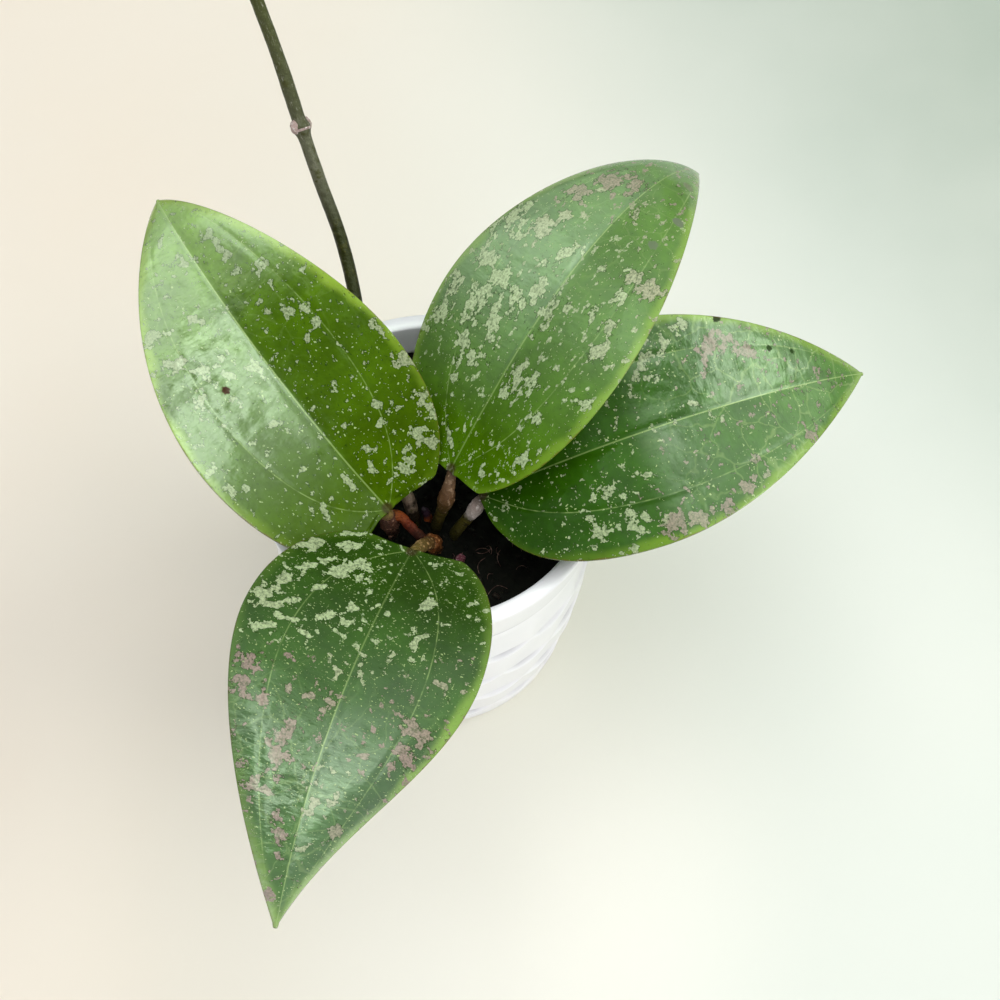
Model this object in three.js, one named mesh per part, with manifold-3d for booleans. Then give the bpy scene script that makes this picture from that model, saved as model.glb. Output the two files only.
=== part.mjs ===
// A potted hoya plant: four thick arched leaves and one long shoot over a carved white ceramic pot.
//
// Millimetres, +Z up. The origin is the middle of the pot's flat base, on the surface that the pot stands
// on. -Y is the front of the plant, where the front leaf reaches out; +X is its right-hand side.

import * as THREE from 'three';
import { mergeVertices } from 'three/addons/utils/BufferGeometryUtils.js';
import Module from 'manifold-3d';

// ---------------------------------------------------------------- driving dimensions

const GAP = 0.3; // clearance between pieces that touch

const POT = {
  height: 108,
  rimRadius: 50, // outside, at the lip
  bandHeight: 17.7, // smooth band between the lip and the groove
  bandFootRadius: 48.3,
  grooveRadius: 47.2,
  groove: { low: 0.4, high: 0.2, slope: 0.9 }, // its floor round the band's foot, and the slope above
  shoulderRadius: 47.5, // wall just below the groove
  bellyRadius: 47.6, // widest part of the wall, half way up
  heelRadius: 43.2, // wall just above the base
  baseRadius: 41,
  heelHeight: 3,
  heelEdge: { inwards: 0.6, height: 0.9 }, // where the base's slope meets the heel
  floor: 6, // thickness of the bottom
  wall: 4.2, // thickness half way up
  mouthRadius: 45.5, // inside, at the lip
  wellRadius: 38.5, // inside, at the floor
  wellCorner: { outwards: 2.5, height: 4 }, // the slope between the well's floor and its wall
  lipRound: 0.8,
};

const CARVING = {
  columns: 16, // scoops round the wall
  rows: 4,
  lowestLip: 9,
  rowPitch: 19.3,
  levels: [0, 0.07, 0.5], // of each row, upwards from its lip, as a share of the row
  stepsPerScoop: 5,
  depth: 1.3, // deepest cut, just above each lip
  fade: 0.8, // how the cut grows shallower up to the next lip
  ledge: 1.8, // height of the step at the lip
  smile: 3.2, // how far a lip's ends rise above its middle
  turn: 4, // degrees that the first row is turned by
};

const SOIL = {
  top: 95,
  radius: 44.4, // at the top, just inside the wall
  rings: 7,
  edge: 8, // how wide a strip by the wall lies level
  lumps: 0.78, // height of the lumps
  seed: 41,
  chips: 10,
  chipSize: 4.2,
  chipSpread: { smallest: 0.6, range: 0.8 }, // as a share of that size
  chipShape: [1, 0.6, 0.4],
  chipReach: { nearest: 8, range: 28 }, // from the pot's axis
};

// A leaf starts at its joint with the petiole. Heading is its compass direction seen from above, rise its
// slope there; sway, droop and twist are what those angles gain by the tip. Lift is how far the blade's edge
// stands above its midrib, as a share of the half-width, and roll tips the whole blade about its midrib.
const LEAVES = {
  left: {
    joint: [-11.2, -17.8, 115.4],
    length: 118.8,
    width: 64.9,
    heading: 143.6,
    sway: -24.9,
    rise: 30.1,
    droop: 54.8,
    droopPower: 1.53,
    roll: 3.4,
    twist: 16,
    widest: 0.316,
    shoulder: 0.564,
    taper: 0.79,
    lobe: 5.4,
    lift: 0.277,
    curl: 0.068,
    skew: -0.025,
  },
  back: {
    joint: [5.4, -6.4, 119.3],
    length: 135.8,
    width: 62.8,
    heading: 61,
    sway: -9.5,
    rise: 35.1,
    droop: 96.9,
    droopPower: 1.954,
    roll: 21.2,
    twist: -23.2,
    widest: 0.33,
    shoulder: 0.715,
    taper: 1.004,
    lobe: 3.7,
    lift: 0.1,
    curl: 0.138,
    skew: -0.03,
  },
  right: {
    joint: [14, -11.2, 114.3],
    length: 129.7,
    width: 63.7,
    heading: 18,
    sway: 15.5,
    rise: 30.4,
    droop: 67.7,
    droopPower: 0.917,
    roll: -9.6,
    twist: -11.8,
    widest: 0.346,
    shoulder: 0.611,
    taper: 0.904,
    lobe: -1.1,
    lift: 0.229,
    curl: 0.045,
    skew: 0.015,
  },
  front: {
    joint: [-3.1, -32.2, 122],
    length: 110.4,
    width: 65.5,
    heading: -110.4,
    sway: 12.1,
    rise: 18.3,
    droop: 48.8,
    droopPower: 1.473,
    roll: -8.4,
    twist: 36.6,
    widest: 0.307,
    shoulder: 0.676,
    taper: 1.053,
    lobe: 2.9,
    lift: 0.167,
    curl: 0.146,
    skew: 0.012,
  },
};

const BLADE = {
  thickness: 1.6, // at the midrib
  edgeThickness: 0.9,
  channel: 0.35, // the midrib's groove on top
  rib: 0.7, // and its ridge underneath
  ribWidth: 2.2,
  ribStart: 0.12, // how far into its rise and fall along the leaf the rib starts
  ribRun: 0.85,
  jointHalfWidth: 1.6, // half-width where the blade starts
  tipHalfWidth: 0.6,
  lobeStart: 0.02, // share of the length over which the round shoulders at the joint grow
  lobeFade: 0.1, // and over which they fade
  liftPower: 1.6,
  rows: 20,
  columns: 12,
  crowding: 0.45, // how much closer the columns stand by the midrib
};

// Stalks: the points that each one's middle line passes, from the foot in the soil upwards.
const FOOT = 87; // how deep the stems reach
const STEM_BACK = [
  [1.2, -13.6, FOOT],
  [1.6, -13.3, 96],
  [3, -12.1, 103],
  [4.3, -10.4, 109],
  [5, -8.6, 114.5],
  [5.9, -5.2, 119.6],
];
const STEM_RIGHT = [
  [6.6, -15.4, FOOT],
  [7.3, -15, 96],
  [10.2, -13.3, 102],
  [12.4, -12.6, 107.5],
  [13.6, -11.8, 111.3],
  [15.6, -10.7, 115],
];
const STEM_LEFT = [
  [-10.6, -15.6, FOOT],
  [-10.9, -16, 97],
  [-11.3, -17, 106],
  [-11.6, -17.6, 111],
  [-12.6, -16.8, 115.9],
];
const STEM_FRONT = [
  [2.4, -19.8, FOOT],
  [2.1, -20.2, 95],
  [1.3, -21.2, 102],
  [-0.6, -24.8, 109.5],
  [-2.3, -29.6, 117],
  [-3.7, -33.7, 122.2],
];
const RUNNER = [
  [-10.9, -16.2, 108.5],
  [-8.6, -16.3, 108.6],
  [-5.9, -17.9, 106.9],
  [-2.4, -20.1, 104.2],
  [0.9, -21.1, 101.6],
];
const STUB = [
  [-0.8, -10.8, FOOT + 3],
  [-0.9, -11, 97],
  [-1.9, -11.6, 104],
];
const BUD = [
  [9.4, -23.6, FOOT + 5],
  [9.5, -23.5, 96],
  [9.2, -23.3, 99.5],
];
const VINE = [
  [-4.6, -11.8, FOOT],
  [-4.6, -11.9, 95],
  [-5.1, -12, 101],
  [-6.6, -9.9, 107],
  [-10.3, -4.1, 111.5],
  [-14.7, 7.3, 114.5],
  [-19.2, 21, 117],
  [-23.8, 34.9, 119],
  [-26.3, 46.4, 121.5],
  [-31.3, 61.2, 127],
  [-38.6, 75.7, 135.5],
  [-45.5, 89.5, 145.5],
  [-51.4, 101.1, 156.5],
  [-57.9, 112.1, 168.5],
  [-60.4, 116.5, 173.5],
  [-62.7, 120.2, 178],
];
const VINE_NODES = [0.724, 0.955]; // along its length

// How thick each stalk is: its plain radius, and swellings as [gain, middle, reach], the last two as shares
// of its length. A leaf's stalk is a stem up to the share `split` and a petiole from there on.
const STALKS = {
  back: {
    points: STEM_BACK,
    split: 0.52,
    radius: 1.65,
    swellings: [
      [0.8, 0.66, 0.1],
      [-0.25, 0.98, 0.12],
    ],
  },
  right: {
    points: STEM_RIGHT,
    split: 0.6,
    radius: 1.6,
    swellings: [
      [0.55, 0.76, 0.1],
      [-0.2, 0.98, 0.1],
    ],
  },
  left: {
    points: STEM_LEFT,
    split: 0.84,
    radius: 1.9,
    swellings: [
      [0.75, 0.66, 0.13],
      [-0.3, 1, 0.1],
    ],
  },
  front: {
    points: STEM_FRONT,
    split: 0.48,
    radius: 1.9,
    swellings: [
      [0.7, 0.38, 0.08],
      [-0.35, 0.95, 0.2],
    ],
  },
  runner: { points: RUNNER, radius: 1.45, swellings: [[0.3, 0, 0.15]] },
  stub: { points: STUB, radius: 1.2, swellings: [[-0.55, 1, 0.12]] },
  bud: {
    points: BUD,
    radius: 1.1,
    swellings: [
      [0.5, 0.75, 0.2],
      [-0.95, 1, 0.12],
    ],
  },
  vine: {
    points: VINE,
    radius: 1.9,
    swellings: [
      [0.6, VINE_NODES[0], 0.011],
      [0.15, VINE_NODES[0] + 0.05, 0.05],
      [0.45, VINE_NODES[1], 0.011],
      [-1.2, 1, 0.014],
    ],
  },
};

// The small bulges at the shoot's nodes: how far out each stands, how it leans, and its half-sizes.
const SCAR = { reach: 1.9, lean: 0.1, size: [1.2, 0.9, 1.5] };
const YOUNG_LEAF = { reach: 1.7, lean: 0.35, size: [1.1, 0.8, 4.4] };
const BULGE_SEAT = 1.5; // how much of a bulge stands below its node

// How much a blade grows sideways, upwards and downwards where it cuts off its petiole's end.
const PETIOLE_CUT = { spread: 3, over: 9, under: GAP };

// ---------------------------------------------------------------- helpers

const wasm = await Module();
wasm.setup();

const vector = (point) => new THREE.Vector3(...point);
const curveThrough = (points) => new THREE.CatmullRomCurve3(points.map(vector), false, 'centripetal');
const bump = (s, middle, width) => Math.exp(-(((s - middle) / width) ** 2));

/** A closed three.js geometry as a solid that can be joined and cut. */
function solidOf(geometry) {
  const bare = geometry.clone();
  bare.deleteAttribute('normal');
  bare.deleteAttribute('uv');
  const welded = mergeVertices(bare);
  const corners = welded.index.array;
  const faces = [];
  for (let i = 0; i < corners.length; i += 3) {
    const [a, b, c] = corners.slice(i, i + 3);
    if (a !== b && b !== c && c !== a) faces.push(a, b, c); // a lathe's poles leave flat faces
  }
  return new wasm.Manifold(
    new wasm.Mesh({
      numProp: 3,
      vertProperties: Float32Array.from(welded.attributes.position.array),
      triVerts: Uint32Array.from(faces),
    }),
  );
}

/** The largest body of a solid, as a geometry. */
function geometryOf(solid) {
  const bodies = solid.decompose().sort((a, b) => b.volume() - a.volume());
  const mesh = bodies[0].getMesh();
  const geometry = new THREE.BufferGeometry();
  geometry.setAttribute('position', new THREE.BufferAttribute(mesh.vertProperties, 3));
  geometry.setIndex(new THREE.BufferAttribute(mesh.triVerts, 1));
  geometry.computeVertexNormals();
  return geometry;
}

/** Moves every vertex of a geometry to where place() puts it. */
function reshape(geometry, place) {
  const position = geometry.attributes.position;
  const point = new THREE.Vector3();
  for (let i = 0; i < position.count; i += 1) {
    point.fromBufferAttribute(position, i);
    const moved = place(point.clone());
    position.setXYZ(i, moved.x, moved.y, moved.z);
  }
  return geometry;
}

/** A profile of [radius, height] pairs turned round the Z axis. */
function turned(profile, segments) {
  const outline = profile.map(([radius, height]) => new THREE.Vector2(radius, height));
  return new THREE.LatheGeometry(outline, segments).rotateX(Math.PI / 2);
}

/**
 * A stalk along the curve through its points: a turned rod as thick as its radius and swellings say, bent
 * along the curve between the shares `from` and `to` of its length, and `grow` thicker to cut a hole.
 */
function rod({ points, radius, swellings }, { steps = 8, sides = 8, from = 0, to = 1, grow = 0 }) {
  const curve = curveThrough(points);
  const fine = 200;
  const frames = curve.computeFrenetFrames(fine);
  const profile = [[0, 0]];
  for (let i = 0; i <= steps; i += 1) {
    const s = from + ((to - from) * i) / steps;
    const swell = (sum, [gain, middle, reach]) => sum + gain * bump(s, middle, reach);
    profile.push([swellings.reduce(swell, radius) + grow, i / steps]);
  }
  profile.push([0, 1]);
  const bent = reshape(turned(profile, sides), ({ x, y, z }) => {
    const s = THREE.MathUtils.clamp(from + (to - from) * z, 0, 1);
    const k = Math.round(s * fine);
    return curve
      .getPointAt(s)
      .addScaledVector(frames.normals[k], x)
      .addScaledVector(frames.binormals[k], y);
  });
  return solidOf(bent);
}

// ---------------------------------------------------------------- pot

/** Outer radius of the plain wall below the groove, a soft belly between heel and shoulder. */
function wallRadius(height) {
  const top = POT.height - POT.bandHeight;
  const share = (height - POT.heelHeight) / (top - POT.heelHeight);
  const straight = POT.heelRadius + (POT.shoulderRadius - POT.heelRadius) * share;
  const middle = (POT.heelRadius + POT.shoulderRadius) / 2;
  return straight + 4 * (POT.bellyRadius - middle) * share * (1 - share);
}

const WELL_SEGMENTS = 48;

/** Where the scoops of a row stand across a direction: 0 at a scoop's middle, 1 at the ridge beside it. */
function acrossScoop(angle, row) {
  const pitch = (2 * Math.PI) / CARVING.columns;
  const phase = (row % 2) * 0.5 + THREE.MathUtils.degToRad(CARVING.turn) / pitch;
  const share = angle / pitch + phase;
  return Math.abs(2 * (share - Math.round(share)));
}

/** The well's wall from the middle of its floor to half the pot's height, or a gap inside that. */
const wellWall = (gap) => [
  [0, POT.floor + gap],
  [POT.wellRadius - gap, POT.floor + gap],
  [POT.wellRadius + POT.wellCorner.outwards - gap, POT.floor + POT.wellCorner.height],
  [wallRadius(POT.height / 2) - POT.wall - gap, POT.height / 2],
];

function pot() {
  const bandFoot = POT.height - POT.bandHeight;
  const carved = [];
  for (let row = 0; row < CARVING.rows; row += 1) {
    for (const share of CARVING.levels) carved.push({ row, share });
  }
  const heightOf = ({ row, share }) => CARVING.lowestLip + (row + share) * CARVING.rowPitch;
  const top = CARVING.lowestLip + CARVING.rows * CARVING.rowPitch;
  const profile = [
    [0, 0],
    [POT.baseRadius, 0],
    [POT.heelRadius - POT.heelEdge.inwards, POT.heelEdge.height],
    [POT.heelRadius, POT.heelHeight],
    ...carved.map((level) => [wallRadius(heightOf(level)), heightOf(level)]),
    [wallRadius(top), top],
    [POT.grooveRadius, bandFoot - POT.groove.low],
    [POT.grooveRadius, bandFoot + POT.groove.high],
    [POT.bandFootRadius, bandFoot + POT.groove.high + POT.groove.slope],
    [POT.rimRadius, POT.height - POT.lipRound * 2],
    [POT.rimRadius - POT.lipRound * 0.3, POT.height - POT.lipRound * 0.4],
    [POT.rimRadius - POT.lipRound, POT.height],
    [0, POT.height],
  ];
  const segments = CARVING.columns * CARVING.stepsPerScoop;
  const carve = ({ x, y, z }) => {
    const level = carved.find((each) => Math.abs(heightOf(each) - z) < 0.01);
    if (!level) return new THREE.Vector3(x, y, z);
    const { row, share } = level;
    const angle = Math.atan2(y, x);
    const here = acrossScoop(angle, row);
    const above = acrossScoop(angle, row + 1);
    const rise = CARVING.smile * (here ** 2 * (1 - share) + above ** 2 * share);
    const cut = share > 0 ? CARVING.depth * (1 - share) ** CARVING.fade * (1 - here ** 2) : 0;
    const scale = 1 - cut / Math.hypot(x, y);
    const [, overLip] = CARVING.levels;
    const step = share === overLip ? CARVING.ledge - overLip * CARVING.rowPitch : 0;
    return new THREE.Vector3(x * scale, y * scale, z + rise + step);
  };
  const outside = solidOf(reshape(turned(profile, segments), carve));
  const clear = POT.height + 5; // well above the pot, so that the cut is clean
  const well = [
    ...wellWall(0),
    [POT.mouthRadius, POT.height - POT.lipRound],
    [POT.mouthRadius + POT.lipRound, POT.height + 0.01],
    [POT.mouthRadius + POT.lipRound, clear],
    [0, clear],
  ];
  return outside.subtract(solidOf(turned(well, WELL_SEGMENTS)));
}

// ---------------------------------------------------------------- leaves

/** Half-width of a leaf as a share of its widest, t running from the joint (0) to the tip (1). */
function outline(leaf, t) {
  const power = Math.log(0.5) / Math.log(leaf.widest);
  const wave = Math.max(0, Math.sin(Math.PI * t ** power));
  return wave ** (t < leaf.widest ? leaf.shoulder : leaf.taper);
}

/** The midrib as a chain of points with the blade's side and up directions at each. */
function midrib(leaf) {
  const rad = THREE.MathUtils.degToRad;
  const steps = 120;
  const chain = [];
  const point = vector(leaf.joint);
  let before;
  for (let i = 0; i <= steps; i += 1) {
    const s = i / steps;
    const slope = rad(leaf.rise - leaf.droop * s ** leaf.droopPower);
    const heading = rad(leaf.heading + leaf.sway * s);
    const along = new THREE.Vector3(
      Math.cos(slope) * Math.cos(heading),
      Math.cos(slope) * Math.sin(heading),
      Math.sin(slope),
    );
    if (before) point.addScaledVector(before.clone().add(along), leaf.length / steps / 2);
    before = along;
    const side = new THREE.Vector3(Math.sin(heading), -Math.cos(heading), 0);
    const roll = rad(leaf.roll + leaf.twist * s);
    side.applyAxisAngle(along, -roll);
    const up = new THREE.Vector3().crossVectors(side, along);
    chain.push({ point: point.clone(), side, up });
  }
  return chain;
}

/** A point half way through the blade, at t along it and v from its left edge (-1) to its right edge (1). */
function bladePoint(leaf, chain, t, v, spread = 0) {
  const floorWidth = THREE.MathUtils.lerp(BLADE.jointHalfWidth, BLADE.tipHalfWidth, t);
  const widest = leaf.width / 2;
  const half = spread + Math.max(floorWidth, widest * outline(leaf, t) * (1 + leaf.skew * Math.sign(v)));
  const lobe = leaf.lobe * Math.exp(-t / BLADE.lobeFade) * Math.min(1, t / BLADE.lobeStart) * Math.abs(v);
  const back = lobe + spread * Math.exp(-t / BLADE.lobeStart);
  const s = Math.min(1, t - back / leaf.length);
  const place = s * (chain.length - 1);
  const k = THREE.MathUtils.clamp(Math.floor(place), 0, chain.length - 2);
  const share = place - k; // below 0 for the lobes, which reach back past the joint
  const y = v * half;
  const lifted = leaf.lift * widest * (Math.abs(y) / widest) ** BLADE.liftPower;
  const curled = leaf.curl * widest * v ** 4 * Math.sin(Math.PI * t);
  return chain[k].point
    .clone()
    .lerp(chain[k + 1].point, share)
    .addScaledVector(chain[k].side, y)
    .addScaledVector(chain[k].up, lifted - curled);
}

/** A point on the blade's top (face 1) or underside (face -1), raised or spread by what `extra` says. */
function skinPoint(leaf, chain, t, v, face, extra) {
  const step = 0.004; // for the slopes along and across
  const at = (along, across) =>
    bladePoint(
      leaf,
      chain,
      THREE.MathUtils.clamp(along, 0, 1),
      THREE.MathUtils.clamp(across, -1, 1),
      extra.spread,
    );
  const middle = at(t, v);
  const along = at(t + step, v).sub(at(t - step, v));
  const across = at(t, v + step).sub(at(t, v - step));
  const normal = across.cross(along).normalize();
  const thick = THREE.MathUtils.lerp(BLADE.thickness, BLADE.edgeThickness, v ** 2);
  const y = (v * leaf.width) / 2;
  const ridge = bump(y, 0, BLADE.ribWidth) * Math.sin(Math.PI * (BLADE.ribStart + BLADE.ribRun * t));
  const relief = face > 0 ? -BLADE.channel * ridge : BLADE.rib * ridge;
  const more = face > 0 ? extra.over : extra.under;
  return middle.addScaledVector(normal, face * (thick / 2 + relief + more));
}

/** The closed blade: one bent sheet for the top, the same for the underside, and a strip round the edge. */
function blade(leaf, extra = { spread: 0, over: 0, under: 0 }) {
  const { rows, columns } = BLADE;
  const sheet = new THREE.PlaneGeometry(2, 1, columns, rows);
  const grid = sheet.attributes.position;
  const chain = midrib(leaf);
  const positions = [];
  for (const face of [1, -1]) {
    for (let i = 0; i < grid.count; i += 1) {
      const u = 0.5 + grid.getY(i);
      const t = Math.sin((Math.PI / 2) * u) ** 2; // closer rows at both ends
      const x = grid.getX(i);
      const v = x * (1 - BLADE.crowding + BLADE.crowding * x * x);
      positions.push(...skinPoint(leaf, chain, t, v, face, extra).toArray());
    }
  }
  const faces = [];
  const corners = sheet.index.array;
  for (let i = 0; i < corners.length; i += 3) {
    const [a, b, c] = corners.slice(i, i + 3);
    faces.push(a, b, c, a + grid.count, c + grid.count, b + grid.count);
  }
  const ring = [];
  for (let i = 0; i < columns; i += 1) ring.push(i);
  for (let j = 0; j < rows; j += 1) ring.push(j * (columns + 1) + columns);
  for (let i = columns; i > 0; i -= 1) ring.push(rows * (columns + 1) + i);
  for (let j = rows; j > 0; j -= 1) ring.push(j * (columns + 1));
  ring.forEach((here, i) => {
    const next = ring[(i + 1) % ring.length];
    faces.push(here, next, here + grid.count, next, next + grid.count, here + grid.count);
  });
  const geometry = new THREE.BufferGeometry();
  geometry.setAttribute('position', new THREE.Float32BufferAttribute(positions, 3));
  geometry.setIndex(faces);
  return solidOf(geometry);
}

// ---------------------------------------------------------------- stems, petioles and vine

const lengthOf = (points) => curveThrough(points).getLength();

/** A rod whose foot stands in the soil, a gap above the bottom of its hole. The hole itself starts at 0. */
function standing(kind, shape) {
  const from = shape.grow > 0 ? 0 : GAP / lengthOf(STALKS[kind].points);
  return rod(STALKS[kind], { from, ...shape });
}

/** The lower part of a leaf's stalk, which stands in the soil. */
const stem = (side, grow = 0) => standing(side, { to: STALKS[side].split, grow });

/** The upper part, which ends just under the blade. */
function petiole(side) {
  const from = STALKS[side].split + GAP / lengthOf(STALKS[side].points);
  return rod(STALKS[side], { from, steps: 6 }).subtract(blade(LEAVES[side], PETIOLE_CUT));
}

/** The old stems of the left and the front leaf, with the runner that joins them. */
const mainStem = (grow = 0) =>
  stem('left', grow).add(stem('front', grow)).add(rod(STALKS.runner, { grow }));
const stub = (grow = 0) => standing('stub', { steps: 6, grow });
const bud = (grow = 0) => standing('bud', { grow });

/** A small bulge on the shoot's side at a node, at the share s of its length. */
function besideVine(s, side, { reach, lean, size }) {
  const curve = curveThrough(VINE);
  const along = curve.getTangentAt(s);
  const out = new THREE.Vector3(along.y, -along.x, 0).normalize().multiplyScalar(side);
  const up = along.clone().addScaledVector(out, lean).normalize();
  const across = new THREE.Vector3().crossVectors(up, out).normalize();
  const turn = new THREE.Matrix4().makeBasis(out.clone().cross(up).cross(up).negate(), across, up);
  const bulge = new THREE.SphereGeometry(1, 8, 6).rotateX(Math.PI / 2).scale(...size);
  bulge.applyMatrix4(turn);
  const middle = curve.getPointAt(s).addScaledVector(out, reach).addScaledVector(up, size[2] - BULGE_SEAT);
  return solidOf(bulge.translate(...middle.toArray()));
}

/** The long shoot: a rod with scars at its first node and two young leaves at the one near its tip. */
function vine(grow = 0) {
  let shoot = standing('vine', { steps: 52, sides: 7, grow });
  if (grow > 0) return shoot;
  for (const side of [-1, 1]) {
    shoot = shoot.add(besideVine(VINE_NODES[0], side, SCAR));
    shoot = shoot.add(besideVine(VINE_NODES[1], side, YOUNG_LEAF));
  }
  return shoot;
}

// ---------------------------------------------------------------- soil

const SOIL_SEGMENTS = 40;

/** A small repeatable scatter, so that the soil is the same every time. */
function scatter(seed) {
  let state = seed;
  return () => {
    state = (state * 16807) % 2147483647;
    return state / 2147483647;
  };
}

/** Height of the soil's surface: three crossing waves, each finer than the last, and level by the wall. */
function soilHeight(x, y) {
  const waves =
    Math.sin(x * 0.31 + 1.3) * Math.cos(y * 0.27 - 0.4) +
    0.6 * Math.sin(x * 0.72 - y * 0.51 + 2.1) +
    0.4 * Math.sin(x * 1.1 + y * 1.3);
  const inside = Math.min(1, (SOIL.radius - Math.hypot(x, y)) / SOIL.edge);
  return SOIL.top + SOIL.lumps * waves * inside;
}

function soil() {
  const profile = wellWall(GAP);
  for (let i = SOIL.rings; i >= 0; i -= 1) profile.push([(SOIL.radius * i) / SOIL.rings, SOIL.top]);
  let body = solidOf(
    reshape(turned(profile, SOIL_SEGMENTS), (point) => {
      if (Math.abs(point.z - SOIL.top) < 0.01) point.z = soilHeight(point.x, point.y);
      return point;
    }),
  );
  const random = scatter(SOIL.seed);
  for (let i = 0; i < SOIL.chips; i += 1) {
    const angle = random() * 2 * Math.PI;
    const reach = SOIL.chipReach.nearest + SOIL.chipReach.range * Math.sqrt(random());
    const [x, y] = [reach * Math.cos(angle), reach * Math.sin(angle)];
    const size = SOIL.chipSize * (SOIL.chipSpread.smallest + SOIL.chipSpread.range * random());
    const chip = new THREE.IcosahedronGeometry(size / 2, 0);
    chip.scale(...SOIL.chipShape).rotateY(random() - 0.5).rotateZ(random() * Math.PI);
    chip.translate(x, y, soilHeight(x, y));
    body = body.add(solidOf(chip));
  }
  for (const hole of [mainStem, () => stem('back', GAP), () => stem('right', GAP), vine, stub, bud]) {
    body = body.subtract(hole(GAP));
  }
  return body;
}

// ---------------------------------------------------------------- assembly

const LOOKS = {
  pot: { color: 0xf3f3f1, roughness: 0.3 },
  soil: { color: 0x17120f, roughness: 0.95 },
  leaf: { color: 0x3f7d2c, roughness: 0.35 },
  petiole: { color: 0xb9a184, roughness: 0.7 },
  stem: { color: 0x77763a, roughness: 0.7 },
  wood: { color: 0x8a4a25, roughness: 0.8 },
  vine: { color: 0x474d31, roughness: 0.6 },
  bud: { color: 0xc98a90, roughness: 0.6 },
};

const group = new THREE.Group();

function place(name, solid, look) {
  const mesh = new THREE.Mesh(geometryOf(solid), new THREE.MeshStandardMaterial({ ...look, metalness: 0 }));
  mesh.name = name;
  group.add(mesh);
}

place('pot', pot(), LOOKS.pot);
place('soil', soil(), LOOKS.soil);
place('stem_main', mainStem(), LOOKS.wood);
place('stem_back', stem('back'), LOOKS.stem);
place('stem_right', stem('right'), LOOKS.stem);
for (const side of Object.keys(LEAVES)) {
  place(`petiole_${side}`, petiole(side), LOOKS.petiole);
  place(`leaf_${side}`, blade(LEAVES[side]), LOOKS.leaf);
}
place('vine', vine(), LOOKS.vine);
place('stub_old', stub(), LOOKS.wood);
place('bud', bud(), LOOKS.bud);

export default group;
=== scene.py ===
# %% [markdown]
# # A potted hoya plant
# Four thick arched leaves and one long shoot stand in a carved white pot. The plant is measured in millimetres,
# with the middle of the pot's base at the origin, and every length becomes metres on its way into a mesh.

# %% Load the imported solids
import math
import random
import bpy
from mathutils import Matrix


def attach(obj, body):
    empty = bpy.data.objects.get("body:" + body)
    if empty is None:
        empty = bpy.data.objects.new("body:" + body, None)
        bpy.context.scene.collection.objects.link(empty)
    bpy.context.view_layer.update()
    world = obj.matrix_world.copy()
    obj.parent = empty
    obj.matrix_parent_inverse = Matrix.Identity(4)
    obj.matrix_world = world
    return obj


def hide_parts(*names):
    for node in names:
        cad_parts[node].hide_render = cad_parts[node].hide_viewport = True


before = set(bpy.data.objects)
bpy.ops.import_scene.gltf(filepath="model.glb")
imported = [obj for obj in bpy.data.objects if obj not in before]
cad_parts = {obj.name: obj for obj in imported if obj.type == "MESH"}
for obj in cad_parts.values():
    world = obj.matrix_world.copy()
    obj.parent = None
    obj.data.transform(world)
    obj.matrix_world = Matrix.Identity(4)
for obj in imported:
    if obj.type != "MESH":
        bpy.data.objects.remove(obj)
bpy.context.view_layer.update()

from types import SimpleNamespace

import bpy
import numpy as np
from mathutils import Matrix, Vector, noise

MM = 0.001

# %% [markdown]
# ## Tools of this lesson
# A finish is written as sRGB hex, the way a colour picker shows it, and Blender wants linear light, so one
# function turns the one into the other. Another adds a shader node with its settings and its links; two sets of
# settings that many nodes share have a name of their own.

# %% Colours and nodes
COLOURS = {"out": 2, "data_type": "RGBA"}  # a Mix node for colours: its sockets are 0 (share), 6 and 7
SMOOTH = {"interpolation_type": "SMOOTHSTEP"}  # a MapRange node that eases in and out


def srgb(code):
    """An sRGB hex colour as linear RGBA."""
    shares = [int(code[i : i + 2], 16) / 255 for i in (0, 2, 4)]
    return tuple(c / 12.92 if c <= 0.04045 else ((c + 0.055) / 1.055) ** 2.4 for c in shares) + (1.0,)


def node(tree, kind, inputs=None, out=0, **settings):
    """Adds a shader node, sets and links its sockets, and returns one of its outputs."""
    made = tree.nodes.new("ShaderNode" + kind)
    for name, value in settings.items():
        setattr(made, name, value)
    for key, value in (inputs or {}).items():
        if isinstance(value, bpy.types.NodeSocket):
            tree.links.new(value, made.inputs[key])
        else:
            made.inputs[key].default_value = value
    return made.outputs[out] if made.outputs else None


def new_material(name):
    """An empty node material and its tree."""
    made = bpy.data.materials.new(name)
    made.use_nodes = True
    made.node_tree.nodes.clear()
    return made, made.node_tree


print("a mid grey is", round(srgb("808080")[0], 3), "in linear light")

# %% [markdown]
# An operator acts on all that is selected, so a primitive is added, a modifier applied and a set of pieces
# joined with nothing else selected. A finished piece then says which body it rides on and which plain solids
# it stands for, and those are hidden.

# %% Pieces
def primitive(operator, name, **settings):
    """A primitive added with nothing else selected."""
    bpy.ops.object.select_all(action="DESELECT")
    operator(**settings)
    made = bpy.context.object
    made.name = made.data.name = name
    return made


def apply_modifier(piece, kind, **settings):
    """Adds a modifier to a piece and applies it."""
    bpy.ops.object.select_all(action="DESELECT")
    bpy.context.view_layer.objects.active = piece
    piece.select_set(True)
    bpy.ops.object.modifier_add(type=kind)
    modifier = piece.modifiers[-1]
    for name, value in settings.items():
        setattr(modifier, name, value)
    bpy.ops.object.modifier_apply(modifier=modifier.name)


def join(pieces, name):
    """Joins pieces into the first one."""
    bpy.ops.object.select_all(action="DESELECT")
    for piece in pieces:
        piece.select_set(True)
    bpy.context.view_layer.objects.active = pieces[0]
    bpy.ops.object.join()
    pieces[0].name = pieces[0].data.name = name
    return pieces[0]


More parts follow.
